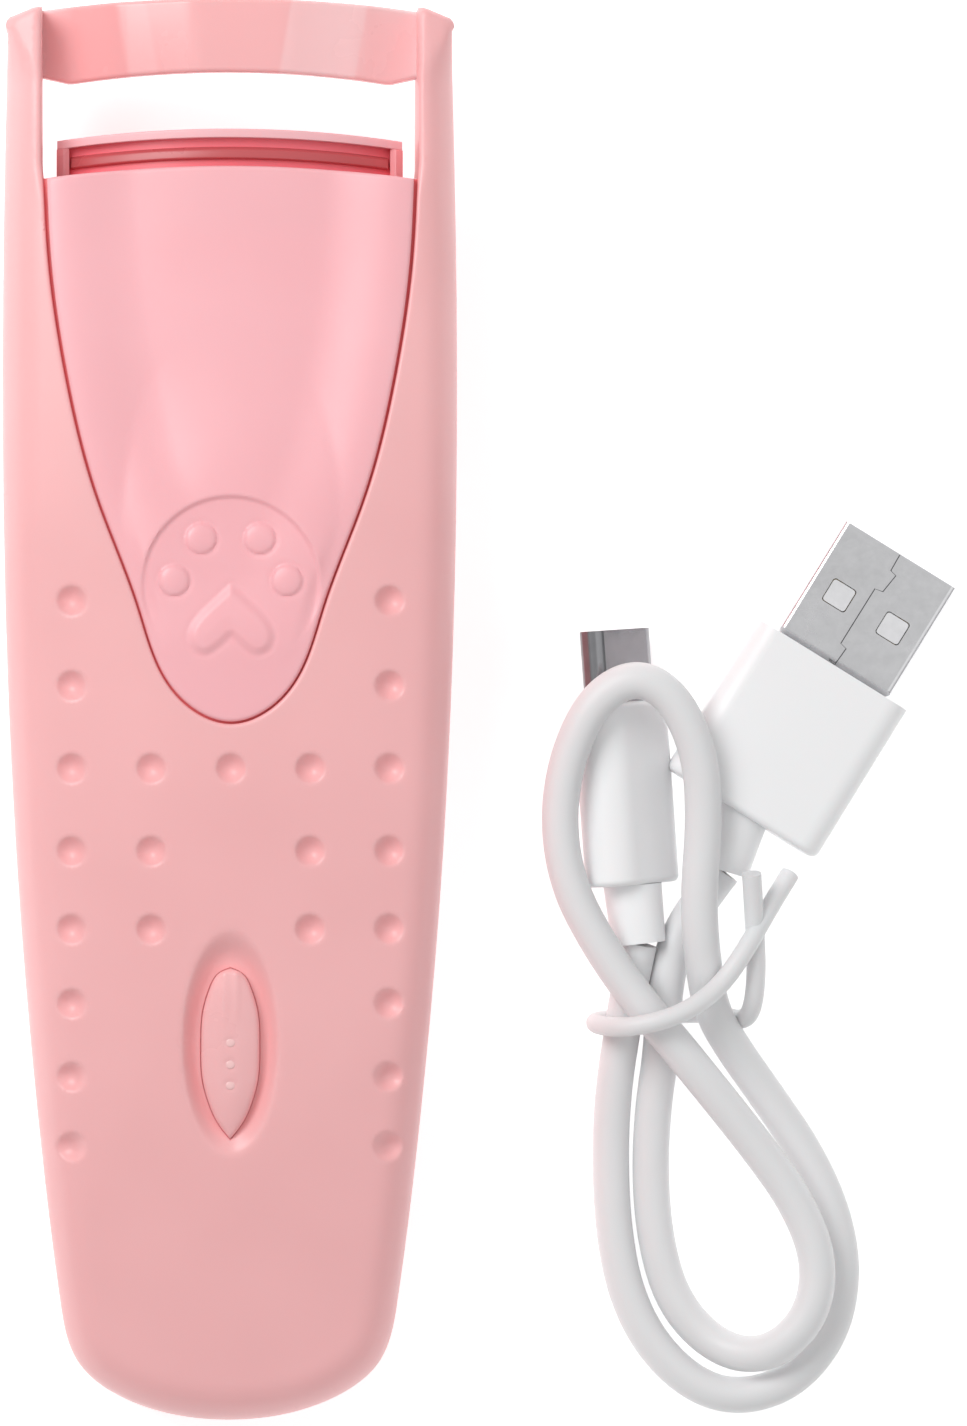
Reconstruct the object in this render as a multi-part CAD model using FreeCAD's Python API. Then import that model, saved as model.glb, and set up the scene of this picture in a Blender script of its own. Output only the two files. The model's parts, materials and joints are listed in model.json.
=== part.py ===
import FreeCAD, Part
import math
import os

# A heated eyelash curler lying on its back, with its charging lead beside it. Millimetres.
# +Y runs to the head, +X to the right, +Z out of the front. The origin is under its middle.

V = FreeCAD.Vector

# Handle
LENGTH = 130.0
WALL = 2.0
PART_LINE_Z = 7.0
FRONT_ROUND = 3.6
BACK_ROUND = 2.6
CROWN_RADIUS = 68.0
# Half widths of the outline against y, from beyond the head down to the middle of the tail.
SIDE = [(19.9, 74.0), (20.65, 40.0), (20.5, 12.0), (19.2, -17.0), (17.65, -35.6),
        (15.5, -54.0), (13.9, -59.6), (9.0, -63.3), (0.0, -65.0)]
# Height of the front along the middle line, from head to tail.
FRONT = [(78.0, 19.2), (40.0, 22.6), (15.0, 22.9), (-15.0, 20.9), (-40.0, 17.0),
         (-58.0, 13.0), (-70.0, 9.8)]

# Head
WINDOW_HALF = 17.1
BAR_AXIS_Z = -10.0
BAR_INNER, BAR_OUTER = 25.9, 28.3
BAR_HALF = WINDOW_HALF + 1.2
BAR_LOW_Y, BAR_BEND, BAR_ROOT_Y = 58.3, (14.6, 57.45), 58.4
SHOULDER_START, SHOULDER_BEND, SHOULDER_END = (20.6, 62.2), (20.25, 63.05), (19.6, 63.45)
SHOULDER_TIP = (17.6, 64.25)
# The back of the posts rises from the parting line towards the head.
POST_FOOT_Y, POST_TIP_Y, POST_TIP_Z = 46.0, 70.0, 10.5
REAR_TOP_Y = 47.0

# Lever: half widths of its U-shaped opening against y.
U_SIDE = [(17.0, 49.0), (16.6, 41.5), (15.1, 31.0), (12.2, 19.5), (8.5, 9.6), (4.9, 1.5),
          (0.0, -1.0)]
LEVER_GAP = 0.35
LEVER_TOP_Y = 50.1
PIVOT_Y, PIVOT_Z = 34.0, 18.6
PIN_R, PIN_CLEARANCE = 1.0, 0.06
CRANK_Z, CRANK_X, CRANK_THICK = 4.6, 10.3, 1.5
SCOOP_Y, SCOOP_HALF_X, SCOOP_HALF_Y, SCOOP_DEEP = 14.5, 9.4, 20.0, 1.7
SCOOP_FLOOR_Z, SCOOP_TILT = 22.8, 2.0
LEVER_BOSS = 3.8
SPRING_Y, SPRING_R, SPRING_WIRE_R, SPRING_TOP_Z, SPRING_TURNS = 22.0, 2.7, 0.3, 18.4, 8

# Jaw
JAW_HALF = 15.8
JAW_INNER, JAW_OUTER = 24.5, 29.0
JAW_LOW_Y, JAW_TOP_Y, PAD_TOP_Y = 46.0, 52.6, 53.3
JAW_ARCH = 0.9
SLOT_R, SLOT_LOW_Y, SLOT_TOP_Y = 27.2, 49.3, 52.1
PLATE_Z, PLATE_THICK = 2.4, 1.2
JAW_SCREWS_X, JAW_SCREW_R = 9.0, 0.6
GUIDE_Y, GUIDE_R = 40.0, 2.0
SENSOR_HALF_X, SENSOR_Y0, SENSOR_Y1 = 1.3, 47.0, 48.6

# Button
BUTTON_Y = -30.0
RECESS_HALF_X, RECESS_HALF_Y, RECESS_DEEP = 4.15, 9.75, 1.6
SEAT_THICK = 1.8
BUTTON_GAP = 0.25
BUTTON_SUNK = 0.4
LIGHT_Y = [-29.9, -31.9, -33.8]
LIGHT_R = 0.45
SWITCH_Y, STEM_LOW_Z = -26.0, 12.9

# Dimples
DIMPLE_R, DIMPLE_DEEP = 1.35, 0.5
DIMPLE_ROWS_Y = [10.2, 2.5, -5.0, -12.5, -19.6, -26.4, -33.1, -39.5]
DIMPLE_OUTER_X, DIMPLE_INNER_X = 14.4, 7.2

# Electronics
BOARD_Z, BOARD_THICK, BOARD_HALF_X = 8.8, 1.0, 10.6
BOARD_LOW_Y, BOARD_HIGH_Y = -60.0, -11.0
BOARD_TOP = BOARD_Z + BOARD_THICK
CASE_SCREWS = [(16.0, 20.0), (-16.0, 20.0), (13.2, -46.0), (-13.2, -46.0)]
CASE_SCREW_R, CASE_SCREW_TIP_Z = 0.8, 12.8
BOARD_SCREWS = [(x, y) for x in (-7.5, 7.5) for y in (-13.0, -54.5)]
BOARD_SCREW_R = 0.6
CELL_HALF_X, CELL_LOW_Y, CELL_HIGH_Y, CELL_Z0, CELL_Z1 = 8.6, -50.0, -16.0, 2.8, 7.9
LEAD_D = 0.9
PORT_W, PORT_H, PORT_Z = 8.94, 3.26, 7.0

# Charging lead
CORD_D = 3.4
TIE_D = 1.8
# Each plug's turn in plan, the middle of its body's front end, and its roll.
A_PLACE = (-31.7, 55.75, 4.4, 4.4, 0.0)
C_PLACE = (4.1, 36.1, 1.0, 4.9, 45.0)
A_BODY, C_BODY = 16.1, 16.9

os.makedirs("parts", exist_ok=True)


def save(name, shape):
    shape = shape.removeSplitter() if len(shape.Solids) == 1 else shape
    shape.exportStep("parts/" + name + ".step")
    print(name, len(shape.Solids), "solids", shape.isValid(), round(shape.Volume, 1))


def box(x0, x1, y0, y1, z0, z1):
    return Part.makeBox(x1 - x0, y1 - y0, z1 - z0, V(x0, y0, z0))


def cyl(r, x, y, z0, z1):
    return Part.makeCylinder(r, z1 - z0, V(x, y, z0))


def rod_x(r, x0, x1, y, z):
    return Part.makeCylinder(r, x1 - x0, V(x0, y, z), V(1, 0, 0))


def rod_y(r, y0, y1, x, z):
    return Part.makeCylinder(r, y1 - y0, V(x, y0, z), V(0, 1, 0))


def both_sides(shape):
    return shape.fuse(shape.mirror(V(0, 0, 0), V(1, 0, 0)))


def spline(points):
    curve = Part.BSplineCurve()
    curve.interpolate([V(*p) for p in points])
    return curve.toShape()


def arc(a, b, c):
    return Part.Arc(V(*a), V(*b), V(*c)).toShape()


def plan_arc(a, b, c):
    return arc((*a, 0), (*b, 0), (*c, 0))


def line(a, b):
    return Part.makeLine(V(*a), V(*b))


def prism(edges, z0=-5.0, z1=40.0):
    face = Part.Face(Part.Wire(edges))
    face.translate(V(0, 0, z0))
    return face.extrude(V(0, 0, z1 - z0))


def mirrored(half):
    """A chain down one side, round the last point and up the other side."""
    return half + [(-x, y) for x, y in reversed(half[:-1])]


def oval(half_x, half_y, y):
    ring = Part.Ellipse(V(0, 0, 0), half_y, half_x).toShape()
    ring.rotate(V(0, 0, 0), V(0, 0, 1), 90)
    ring.translate(V(0, y, 0))
    return prism([ring])


# ---------------------------------------------------------------- envelope

def outline(inset):
    """The handle's outline, run on past the head, where head_block cuts it."""
    wide = 1 - inset / SIDE[1][0]
    tall = 1 - 2 * inset / LENGTH
    side = [(x * wide, y * tall, 0) for x, y in mirrored(SIDE)]
    return [spline(side), line(side[-1], side[0])]


def flip(point):
    return (-point[0], point[1])


def head_block():
    """Everything below the head's arched top and its bevelled shoulders."""
    x, y = SHOULDER_START
    corners = [(-x, y), (-25.0, y), (-25.0, -80.0), (25.0, -80.0), (25.0, y), (x, y)]
    return prism([Part.makePolygon([V(*p) for p in corners]),
                  plan_arc(SHOULDER_START, SHOULDER_BEND, SHOULDER_END),
                  line(SHOULDER_END, SHOULDER_TIP),
                  plan_arc(SHOULDER_TIP, (0, LENGTH / 2), flip(SHOULDER_TIP)),
                  line(flip(SHOULDER_TIP), flip(SHOULDER_END)),
                  plan_arc(flip(SHOULDER_END), flip(SHOULDER_BEND), flip(SHOULDER_START))])


def front_block(inset):
    """Everything behind the crowned front surface, moved back by the inset."""
    reach = 26.0
    drop = CROWN_RADIUS - math.sqrt(CROWN_RADIUS ** 2 - reach ** 2)
    wires = []
    for y, z in FRONT:
        top = z - inset
        low = [(-reach, y, top - drop), (-reach, y, -3), (reach, y, -3), (reach, y, top - drop)]
        wires.append(Part.Wire([Part.makePolygon([V(*p) for p in low]),
                                arc(low[3], (0, y, top), low[0])]))
    return Part.makeLoft(wires, True, False)


def envelope(inset=0.0, front_round=0.0, back_round=0.0):
    body = prism(outline(inset), inset, 40.0).common(front_block(inset))
    if front_round:
        edges = [e for e in body.Edges if e.BoundBox.ZMin > 8.0 and e.BoundBox.YMin < 60.0]
        body = body.makeFillet(front_round, edges)
    if back_round:
        edges = [e for e in body.Edges if e.BoundBox.ZMax < inset + 0.01 and e.BoundBox.YMin < 60.0]
        body = body.makeFillet(back_round, edges)
    return body.common(head_block())


def skin(cutter, top, bottom):
    """The layer of a prism between two depths under the front surface."""
    layer = cutter.common(OUTER)
    if top:
        layer = layer.common(front_block(top))
    return layer.cut(front_block(bottom))


OUTER = envelope(0.0, FRONT_ROUND, BACK_ROUND)
INSIDE = envelope(1.0)
CAVITY = envelope(WALL, 1.6, 0.6)
SEAT_LOW = RECESS_DEEP + SEAT_THICK
FLANGE_TOP = SEAT_LOW + 0.3
FLANGE_LOW = FLANGE_TOP + 1.0


def u_side(gap):
    """The U-shaped side of the lever's opening, made smaller by the gap."""
    wide = 1 - gap / U_SIDE[0][0]
    tall = 1 - (gap + 0.05) / 50.0
    return [(x * wide, 49.0 - (49.0 - y) * tall, 0) for x, y in mirrored(U_SIDE)]


def opening():
    """The U-shaped opening run on up to the crossbar."""
    side = u_side(0.0)
    low, high = side[0][1], BAR_BEND[1]
    corners = [(-U_SIDE[0][0], low), (-WINDOW_HALF, low + 0.5), (-WINDOW_HALF, high),
               (WINDOW_HALF, high), (WINDOW_HALF, low + 0.5), (U_SIDE[0][0], low)]
    return prism([spline(side), Part.makePolygon([V(*p) for p in corners])])


def lever_plan():
    side = u_side(LEVER_GAP)
    return prism([spline(side), arc(side[-1], (0, LEVER_TOP_Y, 0), side[0])])


# ---------------------------------------------------------------- front shell

def curved_bar(inner, outer, y0, y1, half):
    """A bar along the head's arc between two radii, square at its ends."""
    ring = rod_y(outer, y0, y1, 0, BAR_AXIS_Z).cut(rod_y(inner, y0, y1, 0, BAR_AXIS_Z))
    return ring.common(box(-half, half, y0, y1, 0, 40))


def crossbar():
    ring = curved_bar(BAR_INNER, BAR_OUTER, 45.0, 75.0, BAR_HALF)
    root, top = (BAR_HALF, BAR_ROOT_Y), (BAR_HALF, 70.0)
    band = prism([plan_arc(flip(BAR_BEND), (0, BAR_LOW_Y), BAR_BEND),
                  line(BAR_BEND, root), line(root, top), line(top, flip(top)),
                  line(flip(top), flip(root)), line(flip(root), flip(BAR_BEND))])
    return ring.common(band).common(head_block())


def button_outline(grow):
    tip = [(0, -23.6 + grow, 0), (2.0 + grow, -25.6 + grow * 0.6, 0), (2.65 + grow, -30.0, 0),
           (1.75 + grow, -35.0, 0), (0, -38.6 - grow * 1.6, 0)]
    other = [(-x, y, 0) for x, y, z in reversed(tip)]
    return prism([spline(tip), spline(other)])


def dimple_places():
    places = [(s * DIMPLE_OUTER_X, y) for s in (-1, 1) for y in DIMPLE_ROWS_Y]
    places += [(s * DIMPLE_INNER_X, y) for s in (-1, 1) for y in DIMPLE_ROWS_Y[2:5]]
    places.append((0.0, DIMPLE_ROWS_Y[2]))
    return places


def front_height(x, y):
    """Height of the crowned front surface, found by a vertical line through it."""
    return line((x, y, 3), (x, y, 40)).common(OUTER).BoundBox.ZMax


def dimples():
    ball = (DIMPLE_R ** 2 + DIMPLE_DEEP ** 2) / (2 * DIMPLE_DEEP)
    balls = []
    for x, y in dimple_places():
        z = front_height(x, y) + ball - DIMPLE_DEEP
        balls.append(Part.makeSphere(ball, V(x, y, z)))
    return balls[0].fuse(balls[1:])


def front_shell():
    upper = box(-30, 30, -70, 70, PART_LINE_Z, 40)
    shell = OUTER.common(upper).cut(CAVITY.common(box(-30, 30, -70, REAR_TOP_Y, 0, 40)))
    slope = [(POST_FOOT_Y, PART_LINE_Z), (POST_TIP_Y, PART_LINE_Z), (POST_TIP_Y, POST_TIP_Z)]
    wedge = Part.makePolygon([V(-30, y, z) for y, z in slope + slope[:1]])
    shell = shell.cut(Part.Face(wedge).extrude(V(60, 0, 0)))
    seat = skin(oval(RECESS_HALF_X + 1.8, RECESS_HALF_Y + 1.8, BUTTON_Y), 1.0, SEAT_LOW)
    shell = shell.fuse(seat)
    bearing = box(15.9, 19.2, PIVOT_Y - 2.6, PIVOT_Y + 2.6, PIVOT_Z - 2.2, PIVOT_Z + 2.4)
    shell = shell.fuse(both_sides(bearing).common(INSIDE))
    for x, y in CASE_SCREWS:
        shell = shell.fuse(cyl(2.2, x, y, PART_LINE_Z, 30).common(INSIDE))
    shell = shell.cut(opening())
    shell = shell.cut(box(-WINDOW_HALF, WINDOW_HALF, 49.0, 80, 0, 40)).fuse(crossbar())
    recess = oval(RECESS_HALF_X, RECESS_HALF_Y, BUTTON_Y).cut(front_block(RECESS_DEEP))
    shell = shell.cut(recess).cut(button_outline(BUTTON_GAP)).cut(dimples())
    shell = shell.cut(rod_x(PIN_R, -18.5, 18.5, PIVOT_Y, PIVOT_Z))
    for x, y in CASE_SCREWS:
        shell = shell.cut(cyl(CASE_SCREW_R, x, y, PART_LINE_Z - 1, CASE_SCREW_TIP_Z + 0.4))
    return shell.cut(port_hole())


def port_hole():
    return slot_y(PORT_W + 0.4, PORT_H + 0.4, -70, -60, 0, PORT_Z)


def slot_y(w, h, y0, y1, x, z):
    """A stadium-shaped bar along Y."""
    r = h / 2
    mid = box(x - w / 2 + r, x + w / 2 - r, y0, y1, z - r, z + r)
    for side in (-1, 1):
        mid = mid.fuse(rod_y(r, y0, y1, x + side * (w / 2 - r), z))
    return mid.removeSplitter()


def rear_shell():
    lower = box(-30, 30, -70, REAR_TOP_Y, -1, PART_LINE_Z)
    shell = OUTER.common(lower).cut(CAVITY.common(box(-30, 30, -70, REAR_TOP_Y - 1.5, 0, 40)))
    foot = WALL - 0.5
    for x, y in CASE_SCREWS:
        shell = shell.fuse(cyl(2.6, x, y, 0, PART_LINE_Z).common(OUTER))
    for x, y in BOARD_SCREWS:
        shell = shell.fuse(cyl(1.4, x, y, foot, BOARD_Z))
    shell = shell.fuse(cyl(GUIDE_R, 0, GUIDE_Y, foot, PLATE_Z + PLATE_THICK + 0.3))
    rib = box(13.9, 15.1, 36.5, REAR_TOP_Y - 1.6, foot, 5.0)
    shell = shell.fuse(both_sides(rib))
    shell = shell.fuse(cyl(SPRING_R - 0.6, 0, SPRING_Y, foot, WALL + 1.4))
    for x, y in CASE_SCREWS:
        shell = shell.cut(cyl(CASE_SCREW_R + 0.15, x, y, -1, 8)).cut(cyl(2.0, x, y, -1, 2.2))
    for x, y in BOARD_SCREWS:
        shell = shell.cut(cyl(BOARD_SCREW_R, x, y, WALL + 1.0, BOARD_Z + 1))
    shell = shell.cut(cyl(0.7, 0, GUIDE_Y, WALL - 0.8, 8))
    mouth = box(-13.6, 13.6, GUIDE_Y, REAR_TOP_Y + 1, PLATE_Z - 0.35, PART_LINE_Z + 1)
    return shell.cut(mouth).cut(port_hole())


def screw(x, y, z_head, z_tip, head_r, head_h, shank_r, down):
    """A pan screw with a cross recess. down is True if its head is on top."""
    way = 1 if down else -1
    head = cyl(head_r, x, y, min(z_head, z_head + way * head_h), max(z_head, z_head + way * head_h))
    face = z_head + way * head_h
    for w, h in ((head_r * 1.2, 0.35), (0.35, head_r * 1.2)):
        cut = box(x - w / 2, x + w / 2, y - h / 2, y + h / 2, face - 0.5, face + 0.5)
        head = head.cut(cut)
    return head.fuse(cyl(shank_r, x, y, min(z_tip, z_head), max(z_tip, z_head)))


def case_screws():
    return Part.makeCompound([screw(x, y, 2.2, CASE_SCREW_TIP_Z, 1.75, 1.2, CASE_SCREW_R, False)
                              for x, y in CASE_SCREWS])


# ---------------------------------------------------------------- lever

def scoop():
    """The ellipsoid that the thumb hollow is cut with, tipped towards the paw."""
    height = 4.2
    scale = FreeCAD.Matrix()
    scale.scale(SCOOP_HALF_X * 1.25, SCOOP_HALF_Y * 1.25, height)
    dish = Part.makeSphere(1.0).transformGeometry(scale)
    dish.rotate(V(0, 0, 0), V(1, 0, 0), SCOOP_TILT)
    dish.translate(V(0, SCOOP_Y, SCOOP_FLOOR_Z + height - SCOOP_DEEP))
    return dish


def crank():
    """One arm under the lever, with the pin that drives the jaw."""
    top = PIVOT_Z + 1.6
    leg = [(PIVOT_Y - 3.2, top), (PIVOT_Y - 1.8, CRANK_Z), (PIVOT_Y + 1.8, CRANK_Z),
           (PIVOT_Y + 3.2, top)]
    face = Part.Face(Part.makePolygon([V(CRANK_X, y, z) for y, z in leg + leg[:1]]))
    arm = face.extrude(V(CRANK_THICK, 0, 0))
    arm = arm.fuse(rod_x(1.8, CRANK_X, CRANK_X + CRANK_THICK, PIVOT_Y, CRANK_Z))
    return arm.fuse(rod_x(PIN_R, CRANK_X - 2.0, CRANK_X, PIVOT_Y, CRANK_Z))


def press_lever():
    plate = lever_plan()
    boss = oval(SCOOP_HALF_X + 1.6, SCOOP_HALF_Y + 2.0, SCOOP_Y).common(plate)
    lever = skin(plate, 0.0, WALL).fuse(skin(boss, 1.0, LEVER_BOSS)).cut(scoop())
    lever = lever.fuse(both_sides(crank()).common(INSIDE))
    return lever.cut(rod_x(PIN_R + PIN_CLEARANCE, -19, 19, PIVOT_Y, PIVOT_Z))


def lever_pin():
    return rod_x(PIN_R, -18.4, 18.4, PIVOT_Y, PIVOT_Z)


def lever_bumper():
    return box(-4, 4, 1.5, 5.5, WALL, 6.5)


def return_spring():
    height = SPRING_TOP_Z - WALL - 2 * SPRING_WIRE_R
    helix = Part.makeHelix(height / SPRING_TURNS, height, SPRING_R)
    ring = Part.Wire(Part.makeCircle(SPRING_WIRE_R, V(SPRING_R, 0, 0), V(0, 1, 0)))
    spring = Part.Wire(helix).makePipeShell([ring], True, True)
    spring.translate(V(0, SPRING_Y, WALL + SPRING_WIRE_R))
    return spring


# ---------------------------------------------------------------- jaw

def arched_band(y0, y1, half):
    """The plan of a strip between two arcs that are highest in the middle."""
    side = half / JAW_HALF
    low, high = y0 - JAW_ARCH * side ** 2, y1 - JAW_ARCH * side ** 2
    return prism([plan_arc((-half, low), (0, y0), (half, low)), line((half, low), (half, high)),
                  plan_arc((half, high), (0, y1), (-half, high)), line((-half, high), (-half, low))])


def arched_bar(inner, outer, y0, y1, half):
    bar = curved_bar(inner, outer, y0 - 2 * JAW_ARCH, y1 + JAW_ARCH, half)
    return bar.common(arched_band(y0, y1, half))


def jaw_screw_z(x):
    mid = (JAW_INNER + JAW_OUTER) / 2
    return BAR_AXIS_Z + math.sqrt(mid ** 2 - x ** 2) - 0.4


def jaw_screw_holes(shape):
    for x in (-JAW_SCREWS_X, JAW_SCREWS_X):
        shape = shape.cut(rod_y(JAW_SCREW_R, 43.3, 49.0, x, jaw_screw_z(x)))
    return shape


def jaw_carriage():
    """A flat slide with two forks for the crank pins and two risers that carry the jaw's shelf."""
    top = PLATE_Z + PLATE_THICK
    fork_in, fork_out = CRANK_X - 2.0, CRANK_X - 0.4
    plate = box(-fork_out, fork_out, 28.5, 42.0, PLATE_Z, top)
    plate = plate.fuse(box(-13.2, 13.2, 42.0, JAW_LOW_Y, PLATE_Z, top))
    fork = box(fork_in, fork_out, PIVOT_Y - 2.8, PIVOT_Y + 2.8, PLATE_Z, 7.2)
    pin_room = PIN_R + PIN_CLEARANCE
    fork = fork.cut(box(8, 10, PIVOT_Y - pin_room, PIVOT_Y + pin_room, PLATE_Z + 0.9, 8))
    above = rod_y(JAW_INNER + 0.5, 35, 55, 0, BAR_AXIS_Z).common(box(0, 30, 30, 60, 12, 30))
    riser = box(11.2, 13.2, 42.0, JAW_LOW_Y, PLATE_Z, 14.0).cut(above)
    shelf = curved_bar(JAW_INNER - 1.0, JAW_OUTER - 0.8, 44.3, JAW_LOW_Y, JAW_HALF - 0.6)
    carriage = plate.fuse(both_sides(fork)).fuse(both_sides(riser)).fuse(shelf)
    under = rod_y(JAW_INNER - 1.0, 35, 55, 0, BAR_AXIS_Z)
    carriage = carriage.cut(box(11, 14, 41, 47, 13.9, 20).common(under))
    room = GUIDE_R + 0.3
    guide = box(-room, room, 35.0, GUIDE_Y, 0, 8)
    guide = guide.fuse(cyl(room, 0, 35.0, 0, 8)).fuse(cyl(room, 0, GUIDE_Y + 0.2, 0, 8))
    return jaw_screw_holes(carriage.cut(guide))


def guide_screw():
    return screw(0, GUIDE_Y, PLATE_Z + PLATE_THICK + 0.3, WALL - 0.8, 3.2, 1.0, 0.7, True)


def jaw_screws():
    parts = []
    for x in (-JAW_SCREWS_X, JAW_SCREWS_X):
        z = jaw_screw_z(x)
        parts.append(rod_y(1.1, 43.5, 44.3, x, z).fuse(rod_y(JAW_SCREW_R, 44.3, 48.9, x, z)))
    return Part.makeCompound(parts)


def jaw_frame():
    frame = arched_bar(JAW_INNER, JAW_OUTER, JAW_LOW_Y, JAW_TOP_Y, JAW_HALF)
    frame = frame.fuse(curved_bar(JAW_INNER, JAW_OUTER, JAW_LOW_Y, JAW_LOW_Y + 2.0, JAW_HALF))
    frame = frame.cut(box(-30, 30, 40, JAW_LOW_Y, 0, 40))
    frame = frame.cut(arched_bar(SLOT_R, JAW_OUTER + 1, SLOT_LOW_Y, SLOT_TOP_Y, JAW_HALF - 0.7))
    frame = frame.cut(box(-SENSOR_HALF_X, SENSOR_HALF_X, SENSOR_Y0, SENSOR_Y1, 13.5, 17.0))
    return jaw_screw_holes(frame)


def temperature_sensor():
    return box(-SENSOR_HALF_X, SENSOR_HALF_X, SENSOR_Y0, SENSOR_Y1, 13.9, 16.4)


def heating_strip():
    back = arched_bar(SLOT_R, SLOT_R + 0.5, SLOT_LOW_Y + 0.2, SLOT_TOP_Y - 0.2, JAW_HALF - 1.0)
    ridge = arched_bar(SLOT_R + 0.5, SLOT_R + 1.3, SLOT_LOW_Y + 0.4, SLOT_LOW_Y + 1.5, JAW_HALF - 1.4)
    return back.fuse(ridge)


def lash_pad():
    return arched_bar(JAW_INNER + 0.3, JAW_OUTER - 0.2, JAW_TOP_Y, PAD_TOP_Y, JAW_HALF - 0.1)


# ---------------------------------------------------------------- button and electronics

def power_button():
    cap = skin(button_outline(0.0), BUTTON_SUNK, FLANGE_LOW)
    flange = skin(button_outline(1.1), FLANGE_TOP, FLANGE_LOW)
    stem = cyl(1.3, 0, SWITCH_Y, STEM_LOW_Z, 17.0)
    button = cap.fuse(flange).fuse(stem)
    for y in LIGHT_Y:
        button = button.cut(cyl(LIGHT_R, 0, y, 5, 30))
    return button


def button_lights():
    rods = [skin(cyl(LIGHT_R, 0, y, 5, 30), BUTTON_SUNK, FLANGE_LOW) for y in LIGHT_Y]
    return Part.makeCompound(rods)


def switch_plunger():
    return cyl(1.5, 0, SWITCH_Y, BOARD_TOP + 1.3, STEM_LOW_Z)


def button_switch():
    body = box(-3, 3, SWITCH_Y - 3, SWITCH_Y + 3, BOARD_TOP, BOARD_TOP + 2.2)
    return body.cut(cyl(1.6, 0, SWITCH_Y, BOARD_TOP + 0.6, 20))


def circuit_board():
    plan = box(-BOARD_HALF_X, BOARD_HALF_X, BOARD_LOW_Y, BOARD_HIGH_Y, BOARD_Z, BOARD_TOP)
    board = plan.makeFillet(0.8, [e for e in plan.Edges if e.BoundBox.ZLength > BOARD_THICK / 2])
    for x, y in CASE_SCREWS[2:]:
        board = board.cut(cyl(3.2, x, y, 0, 20))
    for x, y in BOARD_SCREWS:
        board = board.cut(cyl(BOARD_SCREW_R + 0.2, x, y, 0, 20))
    return board


def board_screws():
    return Part.makeCompound([screw(x, y, BOARD_TOP, BOARD_Z - 4.0, 1.2, 0.7, BOARD_SCREW_R, True)
                              for x, y in BOARD_SCREWS])


def on_board(x, y, half_x, half_y, height):
    return box(x - half_x, x + half_x, y - half_y, y + half_y, BOARD_TOP, BOARD_TOP + height)


def board_parts():
    chips = [on_board(-6.5, -19.5, 2.0, 2.5, 1.0), on_board(6.5, -28.0, 1.5, 2.0, 0.9),
             on_board(-6.5, -45.0, 1.5, 2.0, 0.9)]
    chips += [on_board(5.7, -46.4 + 2.2 * i, 0.5, 0.6, 0.5) for i in range(4)]
    return Part.makeCompound(chips)


def indicator_leds():
    return Part.makeCompound([on_board(0, y, 0.6, 0.5, 0.6) for y in LIGHT_Y])


def usb_c_socket():
    body = slot_y(PORT_W, PORT_H, -64.2, -57.2, 0, PORT_Z)
    hollow = slot_y(PORT_W - 0.6, PORT_H - 0.6, -64.3, -58.2, 0, PORT_Z)
    return body.cut(hollow)


def usb_c_tongue():
    return box(-3.35, 3.35, -63.4, -58.2, PORT_Z - 0.35, PORT_Z + 0.35)


def battery():
    cell = box(-CELL_HALF_X, CELL_HALF_X, CELL_LOW_Y, CELL_HIGH_Y, CELL_Z0, CELL_Z1)
    return cell.makeFillet(1.4, [e for e in cell.Edges if e.BoundBox.YLength > 30])


def battery_pad():
    return box(1.1 - CELL_HALF_X, CELL_HALF_X - 1.1, CELL_LOW_Y + 2, CELL_HIGH_Y - 2, WALL, CELL_Z0)


def battery_leads():
    """From the cell's end up to the underside of the board."""
    return Part.makeCompound(
        [tube([(x, CELL_HIGH_Y + 0.1, 5.4), (x, -13.3, 5.4), (x, -12.2, 6.6), (x, -12.2, BOARD_Z)], LEAD_D)
         for x in (-2.0, 2.0)])


def heater_leads():
    """From the top of the board, down behind the lever and along the case's floor."""
    return Part.makeCompound(
        [tube([(x, -12.0, BOARD_TOP + 0.5), (x, -9.0, BOARD_TOP + 0.3), (x, -5.5, 5.5), (x, 0.0, 2.7),
               (x, 12.0, 2.6), (x, 26.0, 2.6)], LEAD_D) for x in (-6.4, -5.2)])


# ---------------------------------------------------------------- cords

def tube_path(points):
    """Straight runs joined by tangent arcs, each as large as its two runs allow."""
    pts = [V(*p) for p in points]
    edges = []
    start = pts[0]
    for a, b, c in zip(pts, pts[1:], pts[2:]):
        back, ahead = a - b, c - b
        reach = 0.45 * min(back.Length, ahead.Length)
        radius = reach / math.tan((math.pi - back.getAngle(ahead)) / 2)
        back.normalize()
        ahead.normalize()
        middle = back + ahead
        middle.normalize()
        centre = b + middle * math.sqrt(radius ** 2 + reach ** 2)
        enter, leave = b + back * reach, b + ahead * reach
        edges.append(Part.makeLine(start, enter))
        edges.append(Part.Arc(enter, centre - middle * radius, leave).toShape())
        start = leave
    edges.append(Part.makeLine(start, pts[-1]))
    return Part.Wire(edges)


def tube(points, d):
    path = tube_path(points)
    ring = Part.Wire(Part.makeCircle(d / 2, V(*points[0]), V(*points[1]) - V(*points[0])))
    return path.makePipeShell([ring], True, False)


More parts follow.
